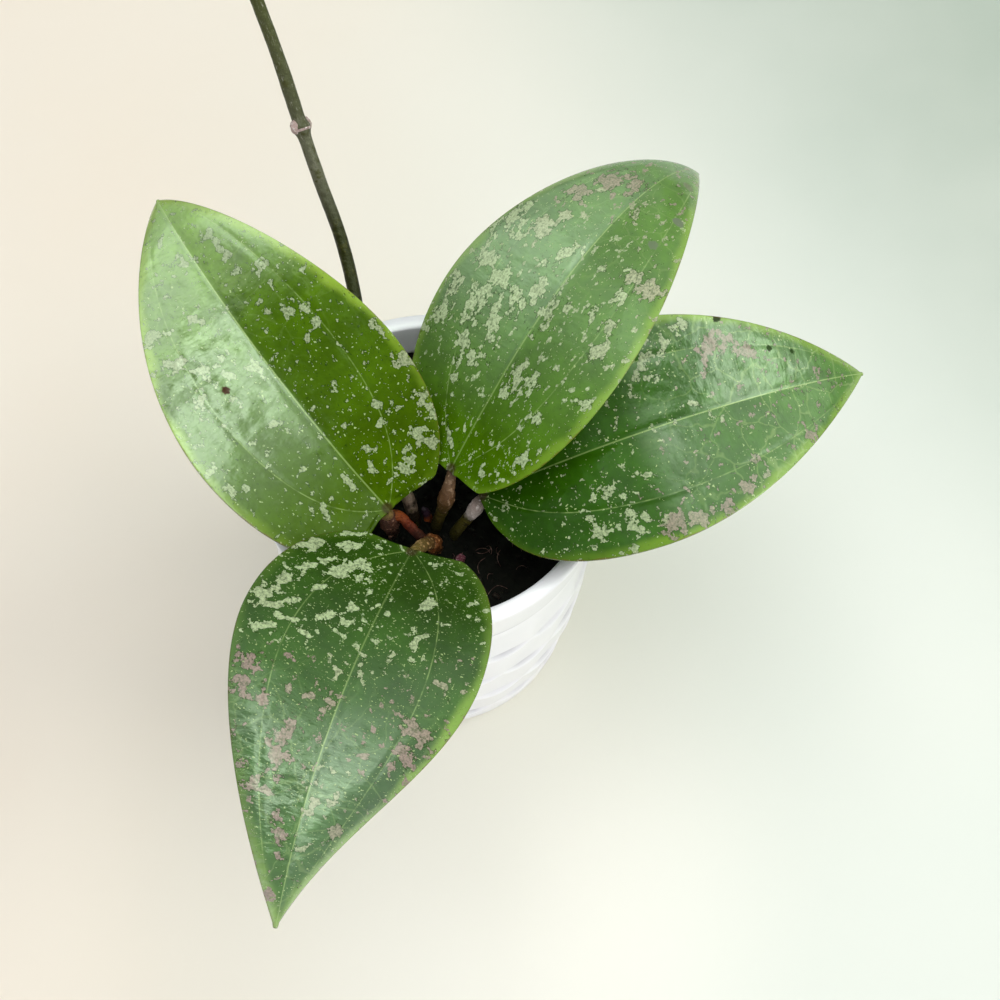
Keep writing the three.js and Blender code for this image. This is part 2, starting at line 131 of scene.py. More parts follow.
def hand_over(piece, slot, *replaced):
    """The piece rides on the plant's one body and stands for its CAD nodes, which are hidden; the slot is not
    used.
    """
    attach(piece, "root")
    if replaced:
        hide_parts(*replaced)
    print(piece.name, len(piece.data.polygons), "faces")


# %% [markdown]
# ## Camera
# The photograph looks down on the plant from in front and above, close enough for the near leaf to look larger.
# The camera's place, in millimetres, and its turn were worked out from the pot's rim and foot and the leaves'
# outlines. The Standard view keeps the colours as they are written.

# %% Camera
EYE = (19.52, -228.89, 599.49)
RIGHT = Vector((0.99773269, 0.06143623, 0.02747859))
UP = Vector((-0.06730143, 0.91078197, 0.40736558))
AHEAD = Vector((0.0, 0.40829131, -0.91285169))
camera_data = bpy.data.cameras.new("camera")
camera_data.sensor_width = 36.0
camera_data.lens = 68.4
camera_data.clip_start = 0.01
camera = bpy.data.objects.new("camera", camera_data)
turned = Matrix((RIGHT, UP, -AHEAD)).transposed().to_4x4()
camera.matrix_world = Matrix.Translation(Vector(EYE) * MM) @ turned
bpy.context.scene.collection.objects.link(camera)
bpy.context.scene.camera = camera
bpy.context.scene.view_settings.view_transform = "Standard"
print("camera looks", round(math.degrees(math.asin(-AHEAD.z)), 1), "degrees down")

# %% [markdown]
# ## Floor
# The plant stands on a plain pale sheet. It is warm on the left and cool on the right; painted shade makes the
# far right corner greyer, and painted light makes it brightest just in front of the pot. The tints depend only on
# the place on the sheet, so they stay put when the camera moves, and the painted shade fades out again before
# the sheet ends.

# %% Floor
FLOOR_WIDTH = 3.0  # metres
# The third colour is painted shade for the far right corner, and the last is painted light in front of the pot.
WARM, COOL, FAR_CORNER_SHADE, CLOUDED, PAINTED_LIGHT_TONE = "EEE3D1", "DFE5DA", "9FAD9E", "EBEBE0", "FBF8EC"
PAINTED_LIGHT_SPOT = (0.025, -0.09, 0.0)
floor = primitive(bpy.ops.mesh.primitive_plane_add, "floor", size=FLOOR_WIDTH)
floor_paint, tree = new_material("matt_painted_board")
place = node(tree, "TexCoord", out="Object")
across = node(tree, "SeparateXYZ", {0: place}, out="X")
back = node(tree, "SeparateXYZ", {0: place}, out="Y")
side = node(tree, "MapRange", {"Value": across, "From Min": -0.16, "From Max": 0.16}, **SMOOTH)
# Painted shade: the far right corner turns greyer, and this fades out again far from the plant.
corner_shade = node(tree, "Math", {0: across, 1: 1.2, 2: back}, operation="MULTIPLY_ADD")
corner_shade = node(tree, "MapRange", {"Value": corner_shade, "From Min": 0.18, "From Max": 0.5, "To Max": 0.95}, **SMOOTH)
off_plant = node(tree, "VectorMath", {0: place}, out="Value", operation="LENGTH")
close_by = node(tree, "MapRange", {"Value": off_plant, "From Min": 1.0, "From Max": 0.55})
corner_shade = node(tree, "Math", {0: corner_shade, 1: close_by}, operation="MULTIPLY")
cloud = node(tree, "TexNoise", {"Vector": place, "Scale": 9.0, "Detail": 3.0})
cloud = node(tree, "MapRange", {"Value": cloud, "From Min": 0.3, "From Max": 0.7, "To Max": 0.25})
# Painted light: a brighter spot on the floor just in front of the pot.
off_spot = node(tree, "VectorMath", {0: place, 1: PAINTED_LIGHT_SPOT}, out="Value", operation="DISTANCE")
painted_light = node(tree, "MapRange", {"Value": off_spot, "From Min": 0.12, "From Max": 0.02, "To Max": 0.6}, **SMOOTH)
tint = srgb(WARM)
for share, code in ((side, COOL), (corner_shade, FAR_CORNER_SHADE), (cloud, CLOUDED), (painted_light, PAINTED_LIGHT_TONE)):
    tint = node(tree, "Mix", {0: share, 6: tint, 7: srgb(code)}, **COLOURS)
board = node(tree, "BsdfPrincipled", {"Base Color": tint, "Roughness": 0.8, "IOR": 1.45})
node(tree, "OutputMaterial", {"Surface": board})
floor.data.materials.append(floor_paint)
print("floor", floor.dimensions[:])

# %% [markdown]
# ## Light
# Daylight comes from a window at the right, which throws the pot's soft shadow to the left, and from the whole
# ceiling, with a weak far wall and a soft fill in front. A leaf is half a mirror, so what it mirrors matters as
# much as what lights it, and a studio takes the two apart with flags and cards. Here the lamps that fill the
# room are not mirrored, and the sheets and cards are only mirrored: they make the broad sheen on some halves of
# the leaves and leave the others deep green. The room itself is dim but for its low front, and is seen as plain
# pale grey.

# %% Light
world = bpy.data.worlds.new("soft_room")
world.use_nodes = True
sky = world.node_tree
sky.nodes.clear()
LOW_FRONT = (-0.15, -0.93, -0.33)
SEEN_ROOM = 0.78  # how bright the camera sees the room
direction = node(sky, "TexCoord", out="Generated")
facing = node(sky, "VectorMath", {0: direction, 1: LOW_FRONT}, out="Value", operation="DOT_PRODUCT")
glow = {"Value": facing, "From Min": 0.3, "From Max": 0.85, "To Min": 0.05, "To Max": 1.4}
glow = node(sky, "MapRange", glow, **SMOOTH)
seen = node(sky, "LightPath", out="Is Camera Ray")
strength = node(sky, "Mix", {0: seen, 2: glow, 3: SEEN_ROOM})
room = node(sky, "Background", {"Color": srgb("F2F6FA"), "Strength": strength})
node(sky, "OutputWorld", {"Surface": room})
bpy.context.scene.world = world

TARGET = Vector((0.0, 0.0, 0.11))  # the middle of the leaves, in metres


def panel(name, azimuth, height, distance, width, depth, radiance, tint, fills=True, mirrored=True):
    """A soft panel that faces the plant: direction and height in degrees, distance and sides in metres."""
    az, el = math.radians(azimuth), math.radians(height)
    light = bpy.data.lights.new(name, "AREA")
    light.shape = "RECTANGLE"
    light.size, light.size_y = width, depth
    light.energy = radiance * math.pi * width * depth
    light.color = srgb(tint)[:3]
    lamp = bpy.data.objects.new(name, light)
    out = Vector((math.cos(el) * math.cos(az), math.cos(el) * math.sin(az), math.sin(el)))
    faced = out.to_track_quat("Z", "Y").to_matrix().to_4x4()
    lamp.matrix_world = Matrix.Translation(TARGET + out * distance) @ faced
    lamp.visible_diffuse, lamp.visible_glossy = fills, mirrored
    bpy.context.scene.collection.objects.link(lamp)
    print(name, "of", round(light.energy, 1), "W")


DAY, LEAF_SHEEN = "F8FAFF", "E9FFE1"
panel("window_right", 10, 35, 1.4, 0.9, 0.6, 5.2, "FFFDF6", mirrored=False)
panel("ceiling", 90, 82, 2.2, 2.4, 2.4, 2.6, DAY, mirrored=False)
panel("far_wall", 190, 30, 2.2, 3.0, 1.8, 0.5, DAY, mirrored=False)
panel("front_fill", -55, 26, 1.6, 1.4, 0.8, 1.5, "FFFAFF", mirrored=False)
panel("sheet_back", 120, 42, 1.4, 2.7, 2.0, 1.0, LEAF_SHEEN, fills=False)
panel("sheet_right", 25, 38, 1.3, 1.0, 1.4, 1.15, LEAF_SHEEN, fills=False)
panel("card_right", -1, 34, 1.4, 0.7, 0.6, 4.4, LEAF_SHEEN, fills=False)
panel("card_back", 137, 46, 1.3, 0.5, 1.0, 2.1, LEAF_SHEEN, fills=False)
panel("card_top", 75, 77, 1.3, 0.6, 0.45, 5.2, LEAF_SHEEN, fills=False)
panel("card_front", -42, 73, 1.3, 0.8, 0.5, 3.2, LEAF_SHEEN, fills=False)

# %% [markdown]
# ## The leaves' shape
# A hoya leaf is a stiff fleshy blade: round and a little heart-shaped at its stalk, widest at a third of its
# length, drawn out to a tip, and arched so that the tip hangs. It could be sculpted, but here each leaf is one
# formula: a midrib that bends and turns, an outline, and a trough across. A flat grid is bent by it, which keeps
# the rows of faces along the leaf and lets every mark on the skin be placed in the leaf's own millimetres. The
# numbers are those of the CAD leaves, in millimetres, degrees and shares.

# %% Leaf measures
LEAF_WORDS = (
    "joint length width heading sway rise droop droop_power roll twist widest shoulder taper lobe lift curl skew"
).split()
LEAVES = {
    "left": ((-11.2, -17.8, 115.4), 118.8, 64.9, 143.6, -24.9, 30.1, 54.8, 1.53, 3.4, 16, 0.316, 0.564, 0.79,
             5.4, 0.277, 0.068, -0.025),
    "back": ((5.4, -6.4, 119.3), 135.8, 62.8, 61, -9.5, 35.1, 96.9, 1.954, 21.2, -23.2, 0.33, 0.715, 1.004,
             3.7, 0.1, 0.138, -0.03),
    "right": ((14, -11.2, 114.3), 129.7, 63.7, 18, 15.5, 30.4, 67.7, 0.917, -9.6, -11.8, 0.346, 0.611, 0.904,
              -1.1, 0.229, 0.045, 0.015),
    "front": ((-3.1, -32.2, 122), 110.4, 65.5, -110.4, 12.1, 18.3, 48.8, 1.473, -8.4, 36.6, 0.307, 0.676, 1.053,
              2.9, 0.167, 0.146, 0.012),
}
LEAVES = {side: dict(zip(LEAF_WORDS, values)) for side, values in LEAVES.items()}
THICK, THICK_EDGE = 1.6, 0.9
JOINT_HALF, TIP_HALF = 1.6, 0.6  # the least half-width at either end
for side, leaf in LEAVES.items():
    print(side, "leaf is", leaf["length"], "mm long and", leaf["width"], "mm wide")

# %% [markdown]
# A blade's outline is half a wave, squeezed so that it is widest at the right place, with rounder shoulders
# than tip. Its midrib is laid from the stalk in short straight steps, each a little steeper and further turned
# than the one before. Both are read at t, which runs from 0 at the stalk to 1 at the tip.

# %% Outline and midrib
def outline(leaf, t):
    """Half-width as a share of the widest, t from the joint (0) to the tip (1)."""
    power = math.log(0.5) / math.log(leaf["widest"])
    wave = np.clip(np.sin(math.pi * np.clip(t, 0, 1) ** power), 0, None)
    return np.where(t < leaf["widest"], wave ** leaf["shoulder"], wave ** leaf["taper"])


def midrib(leaf, steps=120):
    """Points down the midrib, with the blade's side and up directions there."""
    s = np.linspace(0, 1, steps + 1)
    slope = np.radians(leaf["rise"] - leaf["droop"] * s ** leaf["droop_power"])
    heading = np.radians(leaf["heading"] + leaf["sway"] * s)
    along = np.stack([np.cos(slope) * np.cos(heading), np.cos(slope) * np.sin(heading), np.sin(slope)], 1)
    moves = (along[1:] + along[:-1]) / 2 * leaf["length"] / steps
    points = np.array(leaf["joint"]) + np.concatenate([[[0, 0, 0]], np.cumsum(moves, 0)])
    flat = np.stack([np.sin(heading), -np.cos(heading), 0 * s], 1)
    roll = np.radians(leaf["roll"] + leaf["twist"] * s)[:, None]
    side = np.cos(roll) * flat + np.sin(roll) * np.cross(flat, along)
    return points, side, np.cross(side, along)


def half_width(leaf, t, v):
    """Millimetres from the midrib to the edge, which is the left one where v is negative."""
    floor_half = JOINT_HALF + (TIP_HALF - JOINT_HALF) * t
    return np.maximum(floor_half, leaf["width"] / 2 * outline(leaf, t) * (1 + leaf["skew"] * np.sign(v)))


def lobe_reach(leaf, t, v):
    """How far the blade's round shoulders reach back past the joint."""
    return leaf["lobe"] * np.exp(-t / 0.1) * np.minimum(1, t / 0.02) * np.abs(v)


for side, leaf in LEAVES.items():
    print(side, "midrib starts at", leaf["joint"], "and ends at", np.round(midrib(leaf)[0][-1], 1))

# %% [markdown]
# Any point of a blade is found by walking down the midrib and then out to the side, while a trough lifts both
# halves like an open book and a curl turns the edges down. The side veins run at about half of the way out.

# %% Points of a blade
def blade_point(leaf, chain, t, v):
    """The middle of the blade's thickness, v from its left edge (-1) to its right edge (1)."""
    t, v = np.clip(t, 0, 1), np.clip(v, -1, 1)
    points, side, up = chain
    at = np.minimum(1, t - lobe_reach(leaf, t, v) / leaf["length"]) * (len(points) - 1)
    k = np.clip(np.floor(at).astype(int), 0, len(points) - 2)
    y = v * half_width(leaf, t, v)
    half = leaf["width"] / 2
    lifted = leaf["lift"] * half * (np.abs(y) / half) ** 1.6
    curled = leaf["curl"] * half * v**4 * np.sin(math.pi * t)
    share = (at - k)[:, None]
    middle, out, lift = (chosen[k] + (chosen[k + 1] - chosen[k]) * share for chosen in (points, side, up))
    return middle + out * y[:, None] + lift * (lifted - curled)[:, None]


def side_vein(t):
    """Where a side vein runs, as a share of the half-width."""
    return 0.5 * (1 - np.exp(-t / 0.07)) + 0.28 * t


for side, leaf in LEAVES.items():
    tip = blade_point(leaf, midrib(leaf), np.array([1.0]), np.array([0.0]))[0]
    print(side, "leaf reaches", np.round(tip, 1))

# %% [markdown]
# ## Marks on the skin
# The silvery splashes are where the skin has lifted from the green below and lets air in, so each leaf has its
# own. The larger ones are listed as ellipses in the leaf's millimetres: across from the midrib, along
# from the joint, half length, half width, turn in degrees, and how pink it has aged. They only steer a ragged
# noise in the finish, which tears their edges. The thousands of fine flecks need no placing.

# %% Splashes
SPLASHES = {
    "left": """
        7.3 93.5 2.6 1.3 112 .1, 7.8 88.6 3.1 .9 85 .1, 8.5 84.5 1.2 1 139 .2, -5.4 101.6 1.6 .9 67 .1,
        14.5 75.5 2.3 1.3 22 .1, 14.3 69.7 1.2 .8 37 .1, 8.8 78.5 1.1 1 139 .1, 12.8 60.8 2.2 1.4 118 .1,
        17.5 58.6 1.6 1.3 30 .1, 17.6 53 2.6 1.1 80 .1, -9.4 74.6 2.1 1 125 .3, -21.2 75.8 2.2 1.8 172 .2,
        -21.7 65.8 2.2 1.6 148 .3, -18.5 65.9 1.8 1.3 149 .4, -15.9 60.8 2 2 148 .2, -20.9 53.7 2.6 1.4 75 .3,
        -31 55.5 1.2 .5 69 .8, -3.5 53.5 2.1 1.4 142 .1, 10.4 36.5 1.3 1 31 .1, 16.5 24.8 1.4 1.2 138 .1,
        19.5 21.5 2.2 .8 129 .1, 14.8 19.9 1.6 1.2 139 .1, 5.4 26.9 1.7 .6 150 .1, 4.4 12.8 2.1 .7 62 .1,
        6.4 16.5 1.2 1.1 139 .1, 11.4 6 2.9 2 19 .1, 14.5 9.2 1.5 1.2 22 .1, 20.4 11.7 2.3 1.9 98 .1,
        20.6 7 3.2 1.8 106 .2, 26.4 17.1 3 1.9 90 .2, -3.4 13.9 2.5 1 105 .1, -13.9 12.2 2 1.4 99 .1,
        -13 13.7 1 .8 136 .1, -9 38.2 1.7 1 159 .1, -30.3 38.2 2.1 1.3 166 .1, -29.8 32 1.7 1.1 101 .1,
        -25.7 29.6 1.3 .9 1 .1, -9.5 61.2 1.4 .9 118 .1, -10.2 55.6 1.8 1.2 140 .1, -10.9 24.4 1.3 .7 174 .1,
        13 51.3 1.2 1 40 .2, 29.4 42 2.3 1.2 94 .2, 29.8 30.4 2.3 1.6 92 .3, 26.2 12.1 2 1.3 48 .1,
        -2.9 90.9 2.5 2 144 .2, -16.1 32.8 1.3 .8 173 .1, -29.5 45.4 1.5 .6 148 .1, 8.7 64.1 1.1 .7 144 .2""",
    "back": """
        -23.1 57.3 4.5 2.6 7 .1, -18.8 44.6 4.8 2.7 97 0, -15.8 52.4 3.2 2.4 100 0, -8.4 49.5 3.3 2.4 102 0,
        -5.4 55.2 3.9 2.1 95 .1, -10.8 42.7 4.5 2.2 121 0, -26.2 36.7 3.2 2.4 127 0, -27.8 45.4 3.5 2.2 115 .1,
        -24.4 70.1 4.5 3.2 101 .1, -15.5 71.3 2.8 2.3 65 .3, -4.6 68.4 4.4 1.7 57 .1, 1.7 51.3 4.3 2 90 .1,
        5.5 55.2 1.4 1 98 .1, -15.6 33.5 4 1.8 113 0, -11.4 29.8 3.6 2.1 17 0, 4.6 33 3.4 2.2 95 .1,
        10.2 32.9 2.7 1.3 108 0, 3.1 26.4 1.6 1.2 61 0, 21 48.9 2 1.8 107 .2, 16 71.7 3.7 1.6 64 .4,
        22 71.1 2.9 2.2 71 .5, 16.8 65.5 1.8 1.4 75 .1, 25.7 36.3 1.7 1.3 28 0, 16.7 26.5 2.4 1.1 120 0,
        19.9 15.2 2.4 1.4 41 0, -4.7 7.9 5.1 .7 135 0, -12.5 22.8 1.4 1.1 117 0, -13.7 86.7 4 2.8 76 .7,
        -9.5 96 5.6 2.7 64 .8, -3.5 98.3 3.9 2 82 .8, -9.4 90.3 1.2 1.3 44 .3, 3.7 89.8 2.2 1.4 104 .4,
        6.7 69.8 1.2 1 24 .1, 12.6 72.7 .9 .9 28 0, 12.8 58.1 2.5 1.2 112 .1, 19.5 56.9 2.7 1.5 96 .2,
        -8.7 37.8 2.1 1 32 0, -27.8 64.7 2.2 1.8 99 0, -23.7 75.2 1.9 2.1 69 0, -11.5 77.5 2.3 1.9 71 .3,
        -29.1 29.7 2.6 1 20 0, -19.2 66 2.3 1.4 99 .1, -15.9 38.6 1.8 1.3 92 0, 10.4 4.8 1.5 .9 26 0""",
    "right": """
        -24.2 67.4 2.5 1.7 142 .2, -22.3 62.3 2.1 1.6 33 .2, -19.7 55.7 3.2 1.5 155 .2, -14.7 53.1 1.6 1.2 74 .2,
        -16.9 75.3 4.2 2.6 98 1, -13.3 84.6 4.2 2.3 62 1, -17.4 80.9 3.1 1.4 75 1, -12.4 57.7 1.5 1 75 .1,
        -3.2 65.3 1.5 .9 72 .2, 13.2 33.1 2 2 67 .1, 13.3 29.7 1.5 1 144 .1, 21.9 28.1 3.6 1.8 8 .1,
        23.4 40.7 1.2 1 153 .1, 20.9 38.4 1.3 .8 74 .1, 25.8 37.9 2.1 1.6 23 .1, 25.4 44.9 1.7 1.8 74 .4,
        27.9 47.9 3.7 2.5 85 .9, 28.8 53.3 3.9 2.4 89 .8, 27.3 62.2 3 1.9 101 1, 18.2 75.5 1.8 1.3 118 .9,
        24.9 70.5 2.1 1.7 125 .9, 14.6 97 2 1.4 133 1, 12.3 45.5 1.1 .8 70 .1, 30.2 35 1.2 .9 68 .1,
        23.6 32.4 1.4 1.1 70 0, -13.3 69 1.2 .8 112 .1, 22.3 77.7 1.5 .9 121 .6, 15.9 27 1.1 .6 64 0,
        15.4 37.5 .8 .6 68 0""",
    "front": """
        14.1 15.6 3.5 2.5 45 0, 10.8 12.1 2.2 1.8 60 0, 7.8 15.3 1.5 1.3 52 0, 17.3 24.1 2 .9 42 0,
        19.8 15.8 2.7 1.4 48 0, 23.1 19.2 4.2 1.3 44 0, 27.1 26.2 4.1 1.5 41 .1, 29.1 31.1 3.9 2.3 64 .1,
        25.7 33.5 4.2 1.2 15 .1, 20.5 29.7 1.6 1 28 0, 12.1 31.4 2.3 1.6 7 0, 9.9 28.8 1.2 .6 28 0,
        6.6 30.6 2.8 1.5 22 0, 6.8 25.5 1.8 1.4 88 0, 25.5 40 3 1.4 16 0, 20.3 35.9 3.5 .6 20 0,
        15.2 37.5 1.5 1.1 105 0, 24.4 11 4.2 2 39 .1, 15.8 7.5 2.4 1.6 36 0, 16 1.8 3.1 .7 30 0,
        8.8 4.3 1.4 .7 33 0, 25.5 50.5 3.6 1.6 24 1, 25.1 55.2 2.5 2.4 15 1, 19 58.1 2.8 2.2 0 1,
        22 68.4 1.7 .8 111 1, 9.7 62.5 3.2 2.2 53 1, 10 69.2 4.8 2 93 1, -19.4 51.3 2.6 2.4 0 .9,
        -23.4 52.6 2.5 1.8 86 .9, -20.5 59.4 3 2.2 150 1, 13.9 77.2 1.8 1.2 16 .9, 10.6 78 1.6 1.1 172 .9,
        6.7 84 2 1.2 14 1, 4.1 88 3.9 1.2 101 1, 3.1 51.8 1.4 1.3 28 .8, 8.2 53 1.8 .9 23 .8,
        13.4 52.9 1 .8 23 .8, 3.4 44 1.2 1 20 .3, -1.9 40.9 1.8 .9 96 .2, -22.2 37.7 2.4 .9 0 .6,
        -12.5 29 2.3 1 85 .1, -13.2 26.6 2.6 .6 31 .1, -8.1 34.4 .9 1 23 .2, -10.9 62.4 1.1 .7 21 .9,
        -9.2 83.8 1.8 1.3 76 .7, -2.5 77.7 2 1.6 73 .5, -7.3 75.9 1.4 .8 86 .5, -4.7 69.2 .9 .8 14 .3,
        -2.3 89.5 1.3 1.1 73 .3, -2.2 22.9 .8 .7 22 0, -11.4 16.7 2.1 1.4 88 .1, 24 36.1 1.2 .8 23 0""",
}
SPLASHES = {
    side: [[float(word) for word in entry.split()] for entry in text.split(",")]
    for side, text in SPLASHES.items()
}
for side, entries in SPLASHES.items():
    print(side, "leaf carries", len(entries), "placed splashes")

# %% [markdown]
# At each corner of a leaf's grid the splashes become two numbers: how strongly one is wanted there, which falls
# off from an ellipse's middle like a soft brush, and how pink the nearest one is.

# %% Splash field
FALL = -0.69  # half as strong at the ellipse's edge


def splash_field(side, across, along):
    """How strongly a splash is wanted at each point (0.5 at its nominal edge), and how pink it is."""
    wanted, pink = np.zeros_like(across), np.zeros_like(across)
    for x, y, half_length, half_breadth, turn, tone in SPLASHES[side]:
        c, s = math.cos(math.radians(turn)), math.sin(math.radians(turn))
        u = ((across - x) * c + (along - y) * s) / half_length
        w = ((along - y) * c - (across - x) * s) / half_breadth
        strength = np.exp(FALL * (u * u + w * w))
        pink = np.where(strength > wanted, tone, pink)
        wanted = np.maximum(wanted, strength)
    return wanted, pink


for side, entries in SPLASHES.items():
    wanted, pink = splash_field(side, *np.array(entries[0][:2]))
    print(side, "leaf's first splash: wanted", round(float(wanted), 2), "and pink", round(float(pink), 2))

# %% [markdown]
# ## Bending the blades
# The top skin isn't smooth: the midrib runs in a channel, the two side veins in shallow grooves, and the flesh
# between them swells and puckers a little, which breaks the highlights as on the real leaf. The relief fades
# out towards the margin. It is measured here, together with a painted sheen: a pale waxy film on the outer leaf
# that stands in for the light it mirrors.

# %% Relief and wax
CHANNEL, CHANNEL_HALF = 0.35, 1.7
VEIN_GROOVE, VEIN_HALF = 0.16, 0.9
RIB_BELOW, RIB_HALF = 0.7, 2.2
SWELL, SLOW_WAVE, WAVE_SIZE = 0.3, 0.3, 17
PUCKER_SIZE, FINE_PUCKER = 3.6, 1.9
FLAT_MARGIN = 8  # how wide a strip along the margin the relief fades over
SKIN_LAYER = 40.0  # each leaf reads its own layer of the noises
WAX_AND_PAINTED_SHEEN = {  # painted sheen as a film of wax on the outer leaf: the shares of the length where it starts and is full, its cover on each half
    "left": (0.5, 1.0, 0.08, 0.03),
    "back": (0.1, 0.4, 0.15, 0.08),
    "right": (0.4, 0.8, 0.06, 0.05),
    "front": (0.14, 0.6, 0.11, 0.08),
}
PUCKERED = {  # middle of a wrinkled area across and along, its radius, its height, and how far it runs crosswise
    "left": (-16, 62, 28, 0.26, 2.0),
    "back": (-12, 50, 24, 0.1, 1.2),
    "right": (-10, 85, 22, 0.24, 1.2),
    "front": (12, 72, 22, 0.42, 1.8),
}


def wobble(points, size, seed):
    """Smooth noise at each point of an array, for features of a size in mm."""
    return np.array([noise.noise(Vector((x / size, y / size, z / size + seed))) for x, y, z in points])


def set_attribute(mesh, name, values):
    """Stores one vector a vertex, for the shader to read."""
    layer = mesh.attributes.new(name, "FLOAT_VECTOR", "POINT")
    layer.data.foreach_set("vector", np.asarray(values, dtype=np.float32).ravel())


def margin_distance(leaf, across, along):
    """Millimetres from each point to the blade's outline, in the flattened leaf."""
    t = np.linspace(0, 1, 160)
    nearest = np.full(len(across), 1e9)
    for v in (-1.0, 1.0):
        edge_x = v * half_width(leaf, t, v)
        edge_y = t * leaf["length"] - lobe_reach(leaf, t, v)
        for x, y in zip(edge_x, edge_y):
            nearest = np.minimum(nearest, (across - x) ** 2 + (along - y) ** 2)
    return np.sqrt(nearest)


for side, leaf in LEAVES.items():
    inmost = margin_distance(leaf, np.array([0.0]), np.array([leaf["length"] * leaf["widest"]]))
    print(side, "leaf's widest place is", inmost.round(1), "mm from the margin")

# %% [markdown]
# The grid's corners now move to the top skin. Solidify then gives the flesh, thinner at the edge by a vertex
# group, and a small bevel rounds the margin. What the finish needs to know of each corner goes into attributes:
# its place, its veins, its wrinkles, its splashes.

# %% Blades
ACROSS_CELLS, ALONG_CELLS = 112, 190


def bend_blade(side, seed):
    """A grid bent to one leaf's top skin, with the leaf's own measures stored on it."""
    leaf, chain = LEAVES[side], midrib(LEAVES[side])
    blade = primitive(
        bpy.ops.mesh.primitive_grid_add,
        f"blade_{side}",
        x_subdivisions=ACROSS_CELLS,
        y_subdivisions=ALONG_CELLS,
        size=1,
    )
    flat = np.empty(len(blade.data.vertices) * 3)
    blade.data.vertices.foreach_get("co", flat)
    flat = flat.reshape(-1, 3)
    u, v = flat[:, 1] + 0.5, flat[:, 0] * 2
    t = 0.45 * u + 0.55 * np.sin(math.pi / 2 * u) ** 2
    step = 0.004
    middle = blade_point(leaf, chain, t, v)
    along_edge = blade_point(leaf, chain, t + step, v) - blade_point(leaf, chain, t - step, v)
    across_edge = blade_point(leaf, chain, t, v + step) - blade_point(leaf, chain, t, v - step)
    normal = np.cross(across_edge, along_edge)
    normal /= np.linalg.norm(normal, axis=1)[:, None]

    half = half_width(leaf, t, v)
    across = v * half
    along = t * leaf["length"] - lobe_reach(leaf, t, v)
    vein = (np.abs(v) - side_vein(t)) * half
    margin = margin_distance(leaf, across, along)
    inner = np.clip(margin / FLAT_MARGIN, 0, 1)
    skin = np.stack([across, along, np.full_like(across, SKIN_LAYER * seed)], 1)
    x, y, radius, height, crosswise = PUCKERED[side]
    away = np.hypot(across - x, along - y) / radius
    pucker = (0.02 + height * np.exp(-(away**2))) * np.minimum(1, np.abs(across) / 4)
    wrinkled = np.stack([across / crosswise, along, skin[:, 2]], 1)
    wrinkles = wobble(wrinkled, PUCKER_SIZE, seed + 3) + 0.5 * wobble(wrinkled, FINE_PUCKER, seed + 6)
    along_strength = np.sin(math.pi * (0.12 + 0.85 * t))
    ridge = np.exp(-((across / RIB_HALF) ** 2)) * along_strength
    relief = (
        -CHANNEL * np.exp(-((across / CHANNEL_HALF) ** 2)) * along_strength
        - VEIN_GROOVE * np.exp(-((vein / VEIN_HALF) ** 2)) * inner
        + SWELL * inner * (1 - np.exp(-np.abs(across) / 5)) * np.exp(-((vein + 4) / 9) ** 2)
        + SLOW_WAVE * wobble(skin, WAVE_SIZE, seed) * inner
        + pucker * wrinkles * inner
    )
    thick = THICK + (THICK_EDGE - THICK) * v**2
    top = middle + normal * (thick / 2 + relief)[:, None]
    blade.data.vertices.foreach_set("co", (top * MM).ravel())
    set_attribute(blade.data, "skin_mm", skin)
    set_attribute(blade.data, "veins_mm", np.stack([vein, margin, t], 1))
    set_attribute(blade.data, "relief", np.stack([pucker, 0 * t, 0 * t], 1))
    wanted, pink = splash_field(side, across, along)
    # Painted sheen: a pale waxy film over the outer leaf, standing in for the light it mirrors.
    from_t, full_t, *sheen_covers = WAX_AND_PAINTED_SHEEN[side]
    bloom = np.where(v < 0, *sheen_covers) * np.clip((t - from_t) / (full_t - from_t), 0, 1)
    set_attribute(blade.data, "splash", np.stack([wanted, pink, bloom], 1))

    depth = thick + RIB_BELOW * ridge
    group = blade.vertex_groups.new(name="depth")
    for index, value in enumerate(depth / depth.max()):
        group.add([index], float(value), "REPLACE")
    apply_modifier(
        blade,
        "SOLIDIFY",
        thickness=float(depth.max()) * MM,
        offset=-1.0,
        vertex_group="depth",
        material_offset=1,
        material_offset_rim=0,
    )
    sharp = math.radians(55)
    apply_modifier(blade, "BEVEL", width=0.28 * MM, segments=2, limit_method="ANGLE", angle_limit=sharp)
    bpy.ops.object.shade_smooth()
    blade.vertex_groups.clear()
    return blade


blades = {side: bend_blade(side, seed) for seed, side in enumerate(LEAVES, 1)}
print({side: len(blade.data.polygons) for side, blade in blades.items()})

# %% [markdown]
# ## Leaf skin
# The upper skin is a waxy cuticle over deep green flesh: glossy, with pale veins, a yellow-green band at the
# margin that ends in a brown line, and silver splashes, which are duller. The leaf's own millimetres steer all
# of it, so a fleck has the same size on every leaf. The finish is put together in the next cells, one thing
# that the eye sees at a time. Each leaf has its own line in their tables, because no two have aged alike.

# %% What a leaf's finish reads
FLECK_STRETCH = {"left": (1.1, 0.9), "back": (1.25, 0.8), "right": (1, 1), "front": (0.95, 1.0)}
READINGS = {"skin_mm": ["across"], "veins_mm": ["side_rib", "margin", "t"], "splash": ["wanted", "pink", "bloom"]}


